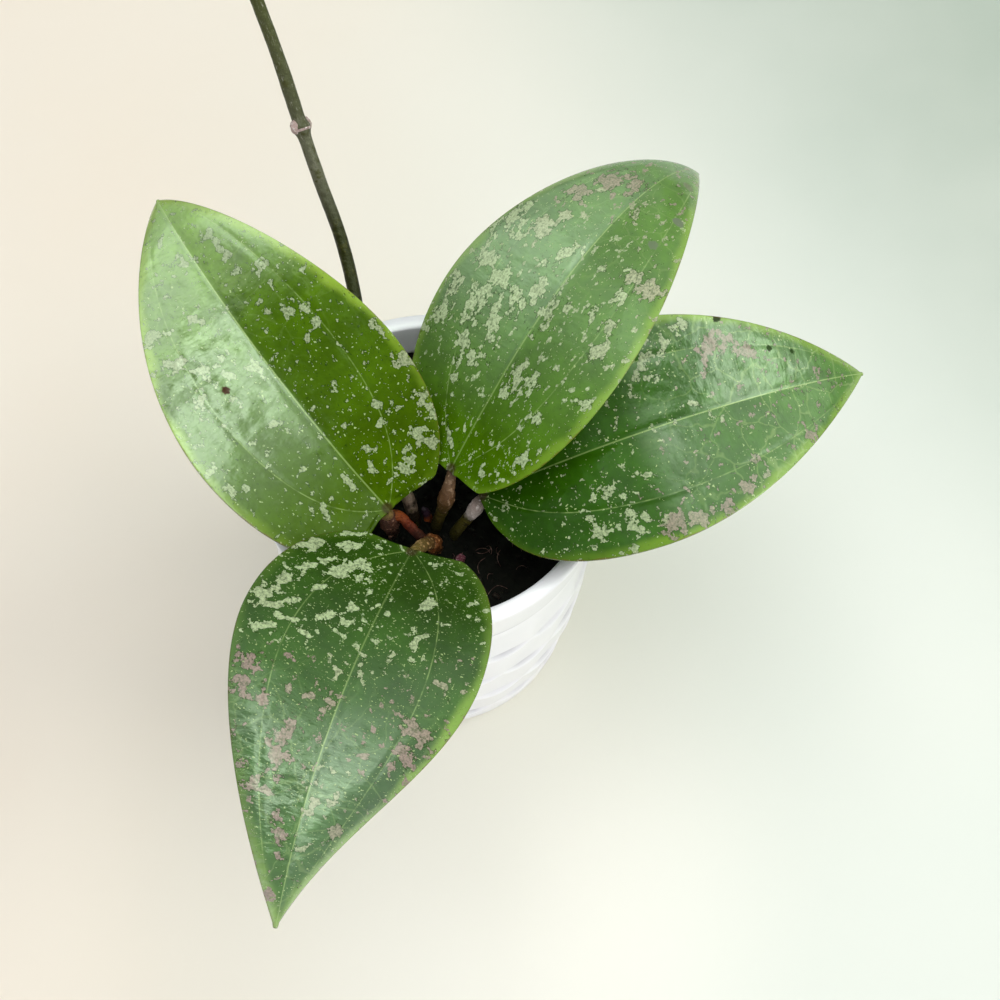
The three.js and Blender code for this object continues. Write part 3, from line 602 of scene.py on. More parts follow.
def read_leaf(tree, side):
    """The measures stored on a leaf, and the noises that several of its marks share, by name."""
    read = {}
    for stored, names in READINGS.items():
        values = node(tree, "Attribute", attribute_name=stored, out="Vector")
        read[stored] = values
        for name, axis in zip(names, "XYZ"):
            read[name] = node(tree, "SeparateXYZ", {0: values}, out=axis)
    skin = read["skin_mm"]
    grain = node(tree, "Mapping", {"Vector": skin, "Scale": (*FLECK_STRETCH[side], 1.0)})
    read["grain"] = grain
    read["clouds"] = node(tree, "TexNoise", {"Vector": skin, "Scale": 1 / 13, "Detail": 3.0})
    read["cells"] = node(tree, "TexNoise", {"Vector": skin, "Scale": 1 / 2.6, "Detail": 2.0})
    read["frayed"] = node(tree, "TexNoise", {"Vector": grain, "Scale": 1 / 0.7, "Detail": 2.0})
    return SimpleNamespace(**read)


print("a leaf's finish reads", ", ".join(READINGS))

# %% [markdown]
# Living flesh is never one green. Lighter and darker tissue lies in it in soft clouds a centimetre or so wide,
# it is darkest near the stalk, and it turns yellow-green along the margin, where the blade is thin. The clouds
# also push the band in and out, so that it has no drawn edge.

# %% Flesh and margin band
LEAF_TONES = {  # near the joint, in the middle, towards the tip, margin band
    "left": ("3E5A02", "426202", "749E1A", "8CAC34"),
    "back": ("446A02", "4A7408", "568410", "7CA02C"),
    "right": ("224602", "2E5806", "4A7A12", "7A9E24"),
    "front": ("264402", "305606", "3A680E", "86AA40"),
}
BAND_FROM = {  # where the band begins on each half of the leaf, as a share of the length
    "left": (0.1, 0.1),
    "back": (-0.1, -0.1),
    "right": (0.1, 0.1),
    "front": (0.05, 0.6),
}


def flesh(tree, read, side):
    """Clouded green, with the yellow-green band inside the margin."""
    joint, middle, tip, band = (srgb(code) for code in LEAF_TONES[side])
    drift = node(tree, "Math", {0: read.clouds, 1: 0.35, 2: read.t}, operation="MULTIPLY_ADD")
    to_middle = node(tree, "MapRange", {"Value": drift, "From Min": 0.28, "From Max": 0.6})
    to_tip = node(tree, "MapRange", {"Value": drift, "From Min": 0.7, "From Max": 1.15})
    green = node(tree, "Mix", {0: to_middle, 6: joint, 7: middle}, **COLOURS)
    green = node(tree, "Mix", {0: to_tip, 6: green, 7: tip}, **COLOURS)
    clouded = {"Value": read.clouds, "From Min": 0.3, "From Max": 0.7, "To Min": 0.84, "To Max": 1.16}
    mottled = {"Value": read.cells, "From Min": 0.3, "From Max": 0.7, "To Min": 0.88, "To Max": 1.12}
    shade, fine = node(tree, "MapRange", clouded), node(tree, "MapRange", mottled)
    shade = node(tree, "Math", {0: shade, 1: fine}, operation="MULTIPLY")
    green = node(tree, "VectorMath", {0: green, "Scale": shade}, operation="SCALE")

    ragged = node(tree, "Math", {0: read.clouds, 1: -5.0, 2: read.margin}, operation="MULTIPLY_ADD")
    inside = node(tree, "MapRange", {"Value": ragged, "From Min": 0.6, "From Max": -2.2, "To Max": 0.9}, **SMOOTH)
    near_half, far_half = BAND_FROM[side]
    halves = {"Value": read.across, "From Min": -1.0, "From Max": 1.0, "To Min": near_half, "To Max": far_half}
    past = node(tree, "Math", {0: read.t, 1: node(tree, "MapRange", halves)}, operation="SUBTRACT")
    outer = node(tree, "MapRange", {"Value": past, "From Max": 0.4, "To Min": 0.15})
    band_here = node(tree, "Math", {0: inside, 1: outer}, operation="MULTIPLY")
    return node(tree, "Mix", {0: band_here, 6: green, 7: band}, **COLOURS)


print("margin bands begin at", BAND_FROM)

# %% [markdown]
# Three veins show from above: a pale midrib with a line of painted shade beside it, where its groove falls into
# shadow, and two fainter side veins, broken in places. Past the middle, where the leaf is older, a net of
# hair-thin veins about 10 mm apart shows between them. The edges of a Voronoi texture's cells are such a net,
# once a noise has bent them.

# %% Veins
RIB_SHOWS = {"left": (0.35, 0.7), "back": (0.3, 0.6), "right": (0.15, 0.7), "front": (0.1, 0.55)}  # from, to
NET_SHOWS = {"left": 0.12, "back": 0.14, "right": 0.3, "front": 0.2}
PALE_RIB, PAINTED_GROOVE_SHADE = "A0BA6C", "24400A"


def with_veins(tree, read, side, green):
    """The flesh with its midrib and the painted shade of its groove, side veins and net of small veins."""
    faint, strong = RIB_SHOWS[side]
    rib_shows = node(tree, "MapRange", {"Value": read.t, "From Max": 0.6, "To Min": faint, "To Max": strong})
    rib_width = node(tree, "MapRange", {"Value": read.t, "To Min": 0.4, "To Max": 0.24})
    rib = node(tree, "Math", {0: read.across}, operation="ABSOLUTE")
    rib = node(tree, "Math", {0: rib, 1: rib_width}, operation="DIVIDE")
    rib = {"Value": rib, "From Min": 0.85, "From Max": 0.35, "To Max": rib_shows}
    rib = node(tree, "MapRange", rib, **SMOOTH)
    # Painted shade: a dark line beside the midrib, where its groove falls into shadow.
    groove_shade = node(tree, "Math", {0: read.across, 1: 0.9}, operation="ADD")
    groove_shade = node(tree, "Math", {0: groove_shade}, operation="ABSOLUTE")
    groove_shade = node(tree, "MapRange", {"Value": groove_shade, "From Min": 0.45, "From Max": 0.1, "To Max": 0.2})

    line = node(tree, "Math", {0: read.side_rib}, operation="ABSOLUTE")
    line = node(tree, "MapRange", {"Value": line, "From Min": 0.26, "From Max": 0.06, "To Max": 0.45}, **SMOOTH)
    ends = node(tree, "MapRange", {"Value": read.t, "From Min": 0.97, "From Max": 0.8})
    broken = node(tree, "MapRange", {"Value": read.cells, "From Min": 0.36, "From Max": 0.62, "To Min": 0.15})
    line = node(tree, "Math", {0: line, 1: ends}, operation="MULTIPLY")
    line = node(tree, "Math", {0: line, 1: broken}, operation="MULTIPLY")

    bent = node(tree, "VectorMath", {0: read.clouds.node.outputs["Color"], "Scale": 12.0}, operation="SCALE")
    bent = node(tree, "VectorMath", {0: read.skin_mm, 1: bent}, operation="ADD")
    net = node(tree, "TexVoronoi", {"Vector": bent, "Scale": 1 / 10}, out="Distance", feature="DISTANCE_TO_EDGE")
    net = node(tree, "MapRange", {"Value": net, "From Min": 0.035, "From Max": 0.008, "To Max": NET_SHOWS[side]})
    old = node(tree, "MapRange", {"Value": read.t, "From Min": 0.35, "From Max": 0.6})
    net = node(tree, "Math", {0: net, 1: old}, operation="MULTIPLY")
    for shows, tone in ((groove_shade, PAINTED_GROOVE_SHADE), (line, PALE_RIB), (net, PALE_RIB), (rib, PALE_RIB)):
        green = node(tree, "Mix", {0: shows, 6: green, 7: srgb(tone)}, **COLOURS)
    return green


print("veins in", PALE_RIB, "groove_shade", PAINTED_GROOVE_SHADE)

# %% [markdown]
# The silver is air under lifted skin, and it comes in three sizes: the placed splashes, torn by a noise; small
# patches, where the same noise is high; and a dust of flecks half a millimetre wide, one at most in each cell
# of a Voronoi texture. A dark line of painted shade runs round each mark, as if its edge were raised. Old silver
# turns pinkish, and all of it is finely crazed. A thin bluish painted sheen, like a film of wax, lies under it
# on the outer part of the leaf.

# %% Silver
DUST_STRETCH = {"left": (1.1, 0.9), "back": (1.25, 0.8), "right": (1, 1), "front": (0.7, 1.2)}
DUST_CELL = {"left": 0.95, "back": 0.85, "right": 0.95, "front": 0.7}  # mm from one fleck of dust to the next
FLECK_AMOUNT = {"left": 0.56, "back": 0.64, "right": 0.52, "front": 0.9}  # share of those cells with a fleck
PATCH_LEVEL = {"left": 0.75, "back": 0.7, "right": 0.72, "front": 0.745}  # the higher, the fewer small patches
SPLASH_COVER = {"left": 0.75, "back": 0.95, "right": 0.8, "front": 0.95}  # how opaque the silver is
PAINTED_SHEEN_TONE, PAINTED_EDGE_SHADE, DUST_TONE, SILVER, OLD_SILVER = "C4D8CC", "223A08", "AAC07E", "AEC090", "968478"


def dust_of_flecks(tree, read, side, near):
    """How much fleck, and how much of the ring of painted shade round it, is at each point."""
    dusted = node(tree, "Mapping", {"Vector": read.skin_mm, "Scale": (*DUST_STRETCH[side], 1.0)})
    stirred = node(tree, "VectorMath", {0: read.frayed.node.outputs["Color"], "Scale": 1.3}, operation="SCALE")
    stirred = node(tree, "VectorMath", {0: dusted, 1: stirred}, operation="ADD")
    dust = node(tree, "TexVoronoi", {"Vector": stirred, "Scale": 1 / DUST_CELL[side]}, out="Distance")
    dice = node(tree, "SeparateColor", {0: dust.node.outputs["Color"]}, out="Red")
    size = node(tree, "Math", {0: dice, 1: 3.0}, operation="POWER")
    size = node(tree, "Math", {0: size, 1: 0.19, 2: 0.12}, operation="MULTIPLY_ADD")
    fleck = node(tree, "Math", {0: size, 1: dust}, operation="SUBTRACT")
    # Painted shade: a dark ring round each fleck, as if its raised edge threw a shadow.
    ring = node(tree, "MapRange", {"Value": fleck, "From Min": -0.16, "From Max": -0.05, "To Max": 0.4})
    fleck = node(tree, "MapRange", {"Value": fleck, "From Min": -0.03, "From Max": 0.04, "To Max": 0.88})
    there = node(tree, "Math", {0: dice.node.outputs["Green"], 1: near}, operation="LESS_THAN")
    return [node(tree, "Math", {0: part, 1: there}, operation="MULTIPLY") for part in (fleck, ring)]


def with_silver(tree, read, side, green):
    """The colour with painted sheen film, painted edge shade, splashes, patches and dust on it, and how silver
    each point is.
    """
    torn = node(tree, "TexNoise", {"Vector": read.grain, "Scale": 1 / 2.2, "Detail": 3.0, "Roughness": 0.55})
    edge = node(tree, "Math", {0: torn, 1: 3.4, 2: read.wanted}, operation="MULTIPLY_ADD")
    edge = node(tree, "Math", {0: read.frayed, 1: 0.7, 2: edge}, operation="MULTIPLY_ADD")
    # Painted shade: a dark line round each splash, as if its raised edge threw a shadow.
    splash = node(tree, "MapRange", {"Value": edge, "From Min": 2.58, "From Max": 2.66})
    edge_shade = node(tree, "MapRange", {"Value": edge, "From Min": 2.42, "From Max": 2.54, "To Max": 0.75})
    crowd = node(tree, "TexNoise", {"Vector": read.skin_mm, "Scale": 1 / 11, "Detail": 2.0})
    near = node(tree, "Math", {0: read.wanted, 1: 0.5, 2: FLECK_AMOUNT[side] - 0.55}, operation="MULTIPLY_ADD")
    near = node(tree, "Math", {0: crowd, 1: 1.1, 2: near}, operation="MULTIPLY_ADD")
    fleck, ring = dust_of_flecks(tree, read, side, near)
    edge_shade = node(tree, "Math", {0: edge_shade, 1: ring}, operation="MAXIMUM")
    patch = node(tree, "Math", {0: near, 1: 0.13, 2: torn}, operation="MULTIPLY_ADD")
    level, cover = PATCH_LEVEL[side], SPLASH_COVER[side]
    patch = node(tree, "MapRange", {"Value": patch, "From Min": level, "From Max": level + 0.015})
    silver = node(tree, "Math", {0: splash, 1: patch}, operation="MAXIMUM")
    veiled = {"Value": read.frayed, "From Min": 0.32, "From Max": 0.55, "To Min": 0.35 * cover, "To Max": cover}
    silver = node(tree, "Math", {0: silver, 1: node(tree, "MapRange", veiled)}, operation="MULTIPLY")

    metal = node(tree, "Mix", {0: read.pink, 6: srgb(SILVER), 7: srgb(OLD_SILVER)}, **COLOURS)
    crazed = node(tree, "TexNoise", {"Vector": read.skin_mm, "Scale": 1 / 0.5, "Detail": 1.0})
    crazed = {"Value": crazed, "From Min": 0.35, "From Max": 0.65, "To Min": 0.78, "To Max": 1.18}
    metal = node(tree, "VectorMath", {0: metal, "Scale": node(tree, "MapRange", crazed)}, operation="SCALE")
    # Painted sheen film, painted shade lines round the marks, and dust go over the green.
    for shows, tone in ((read.bloom, PAINTED_SHEEN_TONE), (edge_shade, PAINTED_EDGE_SHADE), (fleck, DUST_TONE)):
        green = node(tree, "Mix", {0: shows, 6: green, 7: srgb(tone)}, **COLOURS)
    colour = node(tree, "Mix", {0: silver, 6: green, 7: metal}, **COLOURS)
    return colour, node(tree, "Math", {0: silver, 1: fleck}, operation="MAXIMUM")


print("flecks of dust lie", DUST_CELL, "mm apart")

# %% [markdown]
# A few small scars are placed like the splashes. The margin ends in a thin brown line, and the skin is brown
# and corky where the stalk is seated.

# %% Scars, edge and seat
SCARS = {  # across, along, radius in mm, colour
    "left": ((-13.7, 52.8, 1.2, "3A0E06"),),
    "back": ((13.5, 95.7, 1.6, "6E7A62"), (6.3, 112.5, 1.7, "74805F"), (13.6, 83.4, 1.5, "6A7A5C")),
    "right": ((-24.3, 79.3, 1.3, "1C240C"), (-12.3, 93.3, 0.9, "20380C"), (-10, 101, 0.8, "20380C")),
    "front": (),
}
EDGE_LINE, SEAT_TONE = "6A4E26", "352414"


def off_spot(tree, read, x, y, seed):
    """Millimetres from a place on the skin."""
    spot = (x, y, SKIN_LAYER * seed)
    return node(tree, "VectorMath", {0: read.skin_mm, 1: spot}, out="Value", operation="DISTANCE")


def with_hurts(tree, read, side, seed, colour):
    """The colour with scars, edge line and seat on it, and how much gloss each scar leaves."""
    glosses = []
    for x, y, radius, code in SCARS[side]:
        away = off_spot(tree, read, x, y, seed)
        away = node(tree, "Math", {0: read.frayed, 1: 1.6, 2: away}, operation="MULTIPLY_ADD")
        scar = {"Value": away, "From Min": radius + 0.9, "From Max": radius + 0.6, "To Max": 0.95}
        scar = node(tree, "MapRange", scar)
        colour = node(tree, "Mix", {0: scar, 6: colour, 7: srgb(code)}, **COLOURS)
        glosses.append(node(tree, "MapRange", {"Value": scar, "To Min": 1.0, "To Max": 0.1}))
    rim = node(tree, "MapRange", {"Value": read.margin, "From Min": 0.45, "From Max": 0.1, "To Max": 0.5})
    colour = node(tree, "Mix", {0: rim, 6: colour, 7: srgb(EDGE_LINE)}, **COLOURS)
    seat = off_spot(tree, read, 0.0, 0.8, seed)
    seat = node(tree, "MapRange", {"Value": seat, "From Min": 2.2, "From Max": 1.2, "To Max": 0.8})
    return node(tree, "Mix", {0: seat, 6: colour, 7: srgb(SEAT_TONE)}, **COLOURS), glosses


print({side: len(scars) for side, scars in SCARS.items()}, "scars")

# %% [markdown]
# The cuticle hardly shines near the stalk and is glossiest on the outer half, where daylight lies on it as a
# broad pale sheen. On the left and the back leaf one half, beyond the midrib, mirrors less than the other.
# Pebbles, folds and the lifted skin break the sheen, and silver and scars are duller than the green.

# %% Shine
SHINE = {  # where gloss starts and is full, its strength, its share beyond the midrib, and how far that reaches
    "left": (0.08, 0.4, 1.0, 0.15, 0.6),
    "back": (0.12, 0.42, 0.45, 0.35, 0.75),
    "right": (0.33, 0.48, 0.66, 1.0, 0.5),
    "front": (0.42, 0.7, 0.9, 1.0, 0.5),
}
YOUNG_GLOSS = 0.06


def shine(tree, read, side, glosses):
    """How strongly the cuticle mirrors at each point."""
    dull_to, shiny_from, most, far_gloss, reach = SHINE[side]
    gloss = {"Value": read.t, "From Min": dull_to, "From Max": shiny_from, "To Min": YOUNG_GLOSS, "To Max": most}
    gloss = node(tree, "MapRange", gloss, **SMOOTH)
    far = {"Value": read.t, "From Min": reach - 0.09, "From Max": reach + 0.09, "To Min": far_gloss}
    far = node(tree, "MapRange", far)
    beyond = {"Value": read.across, "From Min": -1.0, "From Max": 2.5, "To Min": 1.0, "To Max": far}
    far = node(tree, "MapRange", beyond)
    for share in (far, *glosses):
        gloss = node(tree, "Math", {0: gloss, 1: share}, operation="MULTIPLY")
    return gloss


def pebbles(tree, read, silver):
    """The fine relief that breaks the sheen, as a bump in millimetres."""
    relief = node(tree, "Attribute", attribute_name="relief", out="Vector")
    folds = node(tree, "Mapping", {"Vector": read.skin_mm, "Scale": (0.45, 1.0, 1.0)})
    folds = node(tree, "TexNoise", {"Vector": folds, "Scale": 1 / 1.5, "Detail": 2.0})
    puckered = node(tree, "SeparateXYZ", {0: relief}, out="X")
    folds = node(tree, "Math", {0: folds, 1: puckered}, operation="MULTIPLY")
    wrinkled = node(tree, "TexNoise", {"Vector": read.skin_mm, "Scale": 1 / 5, "Detail": 2.0})
    height = node(tree, "Math", {0: read.cells, 1: 0.16}, operation="MULTIPLY")
    for form, share in ((wrinkled, 0.3), (folds, 1.6), (read.frayed, 0.03), (silver, 0.03)):
        height = node(tree, "Math", {0: form, 1: share, 2: height}, operation="MULTIPLY_ADD")
    return node(tree, "Bump", {"Height": height, "Distance": MM, "Strength": 1.0})


print("gloss near the stalk", YOUNG_GLOSS)

# %% [markdown]
# The upper skin is now one chain of those steps under a clear coat. The underside is paler, matt and free of
# flecks, with its ribs a shade lighter and fine pores.

# %% Both sides of a leaf
def leaf_upper(side, seed):
    """Waxy cuticle over green flesh: a clear gloss that silver and scars dull."""
    made, tree = new_material(f"waxy_leaf_{side}")
    read = read_leaf(tree, side)
    green = with_veins(tree, read, side, flesh(tree, read, side))
    colour, silver = with_silver(tree, read, side, green)
    colour, glosses = with_hurts(tree, read, side, seed, colour)
    gloss = shine(tree, read, side, glosses)
    cuticle = {
        "Base Color": colour,
        "Roughness": node(tree, "MapRange", {"Value": silver, "To Min": 0.27, "To Max": 0.45}),
        "IOR": 1.5,
        "Specular IOR Level": gloss,
        "Coat Weight": gloss,
        "Coat Roughness": 0.14,
        "Normal": pebbles(tree, read, silver),
    }
    node(tree, "OutputMaterial", {"Surface": node(tree, "BsdfPrincipled", cuticle)})
    return made


def leaf_under():
    """Pale matt flesh without wax."""
    made, tree = new_material("leaf_underside")
    skin = node(tree, "Attribute", attribute_name="skin_mm", out="Vector")
    veins = node(tree, "Attribute", attribute_name="veins_mm", out="Vector")
    clouds = node(tree, "TexNoise", {"Vector": skin, "Scale": 1 / 9, "Detail": 3.0})
    mottled = node(tree, "MapRange", {"Value": clouds, "From Min": 0.3, "From Max": 0.7})
    green = node(tree, "Mix", {0: mottled, 6: srgb("5C7A33"), 7: srgb("7D9A4C")}, **COLOURS)
    rib, line = (
        node(tree, "Math", {0: node(tree, "SeparateXYZ", {0: values}, out="X")}, operation="ABSOLUTE")
        for values in (skin, veins)
    )
    rib = node(tree, "MapRange", {"Value": rib, "From Min": 1.6, "From Max": 0.6, "To Max": 0.7})
    line = node(tree, "MapRange", {"Value": line, "From Min": 0.8, "From Max": 0.2, "To Max": 0.5})
    rib = node(tree, "Math", {0: rib, 1: line}, operation="MAXIMUM")
    green = node(tree, "Mix", {0: rib, 6: green, 7: srgb("A9B878")}, **COLOURS)
    pores = node(tree, "TexNoise", {"Vector": skin, "Scale": 1 / 0.9, "Detail": 2.0})
    bump = node(tree, "Bump", {"Height": pores, "Distance": 0.04 * MM, "Strength": 1.0})
    matt = {"Base Color": green, "Roughness": 0.55, "IOR": 1.45, "Normal": bump}
    node(tree, "OutputMaterial", {"Surface": node(tree, "BsdfPrincipled", matt)})
    return made


underside = leaf_under()
for seed, (side, blade) in enumerate(blades.items(), 1):
    blade.data.materials.append(leaf_upper(side, seed))
    blade.data.materials.append(underside)
    hand_over(blade, "leaf", f"leaf_{side}")

# %% [markdown]
# ## The pot
# The pot is cast white ceramic under a satin glaze: a plain band at the rim, a fine groove, and below it rows
# of shallow scoops, set like scales, each with a curved lip at its foot. Its profile is drawn by extruding one
# corner point by point, and spun round the upright axis, as a lathe or a potter's wheel turns it.

# %% Pot measures
POT_TOP, BAND, HEEL = 108.0, 17.7, 3.0
R_RIM, R_BAND, R_GROOVE, R_SHOULDER, R_BELLY, R_HEEL, R_BASE = 50.0, 48.3, 47.2, 47.5, 47.6, 43.2, 41.0
R_MOUTH, R_WELL, WELL_FLOOR, WALL = 45.5, 38.5, 6.0, 4.2
COLUMNS, ROWS, LOWEST_LIP, PITCH, DEPTH, SMILE, TURN = 16, 4, 9.0, 19.3, 1.3, 3.2, 4.0
LEVELS = [0, 0.02, 0.045, 0.07, 0.11, 0.17, 0.25, 0.34, 0.44, 0.54, 0.64, 0.74, 0.84, 0.92]
LEDGE = 0.055  # share of a row that the step at its lip takes
POT_STEPS = 288


def wall_radius(height):
    """Outer radius of the round wall below the groove."""
    share = (height - HEEL) / (POT_TOP - BAND - HEEL)
    straight = R_HEEL + (R_SHOULDER - R_HEEL) * share
    return straight + 4 * (R_BELLY - (R_HEEL + R_SHOULDER) / 2) * share * (1 - share)


print("the wall is", round(wall_radius(54), 1), "mm from the axis at half height")

# %% [markdown]
# The profile goes up the outside, with a ring of corners for every level of a scoop, round the lip, and down
# the inside. Spin turns it once round, and the corners that meet are merged.

# %% Profile and lathe
def pot_profile():
    """Outside from the middle of the base up to the lip, and down the inside to the middle of the floor."""
    groove = POT_TOP - BAND
    outside = [(0, 0), (R_BASE - 3, 0), (R_BASE, 0.15), (R_HEEL - 0.6, 1.1), (R_HEEL, HEEL), (wall_radius(6), 6)]
    for row in range(ROWS):
        for share in LEVELS:
            height = LOWEST_LIP + (row + share) * PITCH
            outside.append((wall_radius(height), height))
    top = LOWEST_LIP + ROWS * PITCH
    outside += [(wall_radius(top), top), (wall_radius(top + 1.6), top + 1.6), (R_GROOVE + 0.2, groove - 0.7)]
    outside += [(R_GROOVE, groove - 0.3), (R_GROOVE, groove + 0.2), (R_BAND - 0.25, groove + 0.7)]
    outside += [(R_BAND, groove + 1.2)]
    outside += [(R_BAND + (R_RIM - R_BAND) * k / 8, groove + 1.2 + (BAND - 3) * k / 8) for k in range(1, 9)]
    lip = (R_RIM - R_MOUTH) / 2
    middle = R_RIM - lip
    turns = [math.pi * k / 12 for k in range(13)]
    outside += [(middle + lip * math.cos(a), POT_TOP - 0.9 + 0.9 * math.sin(a) ** 0.8) for a in turns]
    inside = [(R_MOUTH - 0.15, POT_TOP - 5), (wall_radius(85) - 3.4, 85), (wall_radius(54) - WALL, 54)]
    inside += [(R_WELL + 2.5, WELL_FLOOR + 4), (R_WELL, WELL_FLOOR), (0, WELL_FLOOR)]
    return outside + inside


def lathe(name, profile, steps):
    """A profile of (radius, height) points spun round the upright axis."""
    piece = primitive(bpy.ops.mesh.primitive_plane_add, name, size=MM)
    bpy.ops.object.mode_set(mode="EDIT")
    bpy.ops.mesh.merge(type="CENTER")
    bpy.ops.transform.translate(value=(profile[0][0] * MM, 0, profile[0][1] * MM))
    for (r0, z0), (r1, z1) in zip(profile, profile[1:]):
        bpy.ops.mesh.extrude_region_move(TRANSFORM_OT_translate={"value": ((r1 - r0) * MM, 0, (z1 - z0) * MM)})
    bpy.ops.mesh.select_all(action="SELECT")
    bpy.ops.mesh.spin(steps=steps, angle=2 * math.pi, center=(0, 0, 0), axis=(0, 0, 1))
    bpy.ops.mesh.select_all(action="SELECT")
    bpy.ops.mesh.remove_doubles(threshold=0.004 * MM)
    bpy.ops.mesh.normals_make_consistent(inside=False)
    bpy.ops.object.mode_set(mode="OBJECT")
    return piece


pot = lathe("pot_glazed", pot_profile(), POT_STEPS)
print("pot", [round(size / MM, 1) for size in pot.dimensions])

# %% [markdown]
# A hand would carve the scoops one by one. Here the corners of the spun wall are moved in and up by a formula,
# which keeps the wall one skin of clean rows of faces, and each corner stores where in its scoop it lies for
# the glaze.

# %% Scoops
def across_scoop(angle, row):
    """0 at a scoop's middle, 1 at the ridge beside it."""
    pitch = 2 * math.pi / COLUMNS
    share = angle / pitch + (row % 2) * 0.5 + math.radians(TURN) / pitch
    return abs(2 * (share - round(share)))


def press_scoops(mesh):
    """Moves the wall's corners in and up, row by row, and stores where in its scoop each one lies."""
    heights = {}
    for row in range(ROWS):
        for share in LEVELS:
            heights[round((LOWEST_LIP + (row + share) * PITCH) * 20)] = (row, share)
    moved = 0
    places = [(0.5, 1.0, 0.0)] * len(mesh.vertices)
    for vertex in mesh.vertices:
        x, y, z = vertex.co / MM
        radius = math.hypot(x, y)
        found = heights.get(round(z * 20))
        if not found or radius < wall_radius(z) - 0.5:
            continue
        row, share = found
        angle = math.atan2(y, x)
        here, above = across_scoop(angle, row), across_scoop(angle, row + 1)
        above = above if row < ROWS - 1 else 0.0  # the last row ends level, under the groove
        rise = SMILE * (here**2 * (1 - share) + above**2 * share)
        into = min(1, share / LEDGE)
        into = into * into * (3 - 2 * into)
        cut = DEPTH * into * (1 - share) ** 0.8 * (1 - here**2)
        vertex.co = Vector((x * (1 - cut / radius), y * (1 - cut / radius), z + rise)) * MM
        places[vertex.index] = (share, here, 0.0)
        moved += 1
    set_attribute(mesh, "scoop", places)
    return moved


print("scoops moved", press_scoops(pot.data), "corners")
bpy.ops.object.shade_smooth()

# %% [markdown]
# Satin glaze is an even cool white with a thin soft gloss and a faint orange peel. Painted shade greys it in
# three places: a broken line just above each scoop's lip, a thin line in the groove, and the lower body,
# darker towards the foot.

# %% Glaze
CREASE_SHADE_AT = 0.06  # where in a scoop, from its lip up, the line of painted shade runs


def satin_glaze():
    """White satin glaze over ceramic: a thin gloss on a soft body, with painted shade in its creases, groove and
    lower body.
    """
    made, tree = new_material("white_satin_glaze")
    place = node(tree, "TexCoord", out="Object")
    clouds = node(tree, "TexNoise", {"Vector": place, "Scale": 60.0, "Detail": 3.0})
    mottled = node(tree, "MapRange", {"Value": clouds, "From Min": 0.3, "From Max": 0.7})
    white = node(tree, "Mix", {0: mottled, 6: srgb("F9F9FB"), 7: srgb("FDFDFE")}, **COLOURS)
    height = node(tree, "SeparateXYZ", {0: place}, out="Z")
    # Painted shade: the lower body is greyer towards the foot.
    low = node(tree, "MapRange", {"Value": height, "From Min": 0.089, "From Max": 0.0, "To Max": 0.4})
    white = node(tree, "Mix", {0: low, 6: white, 7: srgb("EEECF2")}, **COLOURS)
    # Painted shade: a grey line just above each scoop's lip, fading to its sides and broken by a noise.
    scoop = node(tree, "Attribute", attribute_name="scoop", out="Vector")
    up_scoop = node(tree, "SeparateXYZ", {0: scoop}, out="X")
    off_middle = node(tree, "SeparateXYZ", {0: scoop}, out="Y")
    crease_shade = node(tree, "Math", {0: up_scoop, 1: CREASE_SHADE_AT}, operation="SUBTRACT")
    crease_shade = node(tree, "Math", {0: crease_shade}, operation="ABSOLUTE")
    crease_shade = node(tree, "MapRange", {"Value": crease_shade, "From Min": 0.055, "From Max": 0.01})
    fades = node(tree, "MapRange", {"Value": off_middle, "From Min": 0.95, "From Max": 0.3, "To Max": 0.5})
    crease_shade = node(tree, "Math", {0: crease_shade, 1: fades}, operation="MULTIPLY")
    shade_breaks = node(tree, "TexNoise", {"Vector": place, "Scale": 70.0, "Detail": 1.0})
    shade_breaks = node(tree, "MapRange", {"Value": shade_breaks, "From Min": 0.44, "From Max": 0.58, "To Min": 0.35})
    crease_shade = node(tree, "Math", {0: crease_shade, 1: shade_breaks}, operation="MULTIPLY")
    # Painted shade: a grey line in the groove under the rim band.
    groove = node(tree, "Math", {0: height, 1: (POT_TOP - BAND - 1.0) * MM}, operation="SUBTRACT")
    groove = node(tree, "Math", {0: groove}, operation="ABSOLUTE")
    groove = node(tree, "MapRange", {"Value": groove, "From Min": 0.8 * MM, "From Max": 0.4 * MM, "To Max": 0.6})
    crease_shade = node(tree, "Math", {0: crease_shade, 1: groove}, operation="MAXIMUM")
    white = node(tree, "Mix", {0: crease_shade, 6: white, 7: srgb("A8A6AC")}, **COLOURS)
    peel = node(tree, "TexNoise", {"Vector": place, "Scale": 420.0, "Detail": 1.0})
    bump = node(tree, "Bump", {"Height": peel, "Distance": 0.05 * MM, "Strength": 1.0})
    satin = {"Base Color": white, "Roughness": 0.36, "IOR": 1.5, "Normal": bump}
    satin |= {"Coat Weight": 0.3, "Coat Roughness": 0.18}
    node(tree, "OutputMaterial", {"Surface": node(tree, "BsdfPrincipled", satin)})
    return made


pot.data.materials.append(satin_glaze())
hand_over(pot, "glazed_pot", "pot")

# %% [markdown]
# ## The soil
# Potting mix is dark when damp, and here it is painted nearly black for the shade of the leaves over it: fine
# peat with crumbs, chips of bark and a few curled coir fibres. Its bed is spun like the pot and then lumped by
# two sizes of noise, and the loose bits are strewn over it.

# %% Soil bed
SOIL_TOP, SOIL_RADIUS, GAP = 95.0, 44.4, 0.3
RINGS, SOIL_STEPS = 74, 200
LUMP, LEVEL_EDGE = 0.78, 8  # height of the lumps, and how wide a strip by the wall they fade over


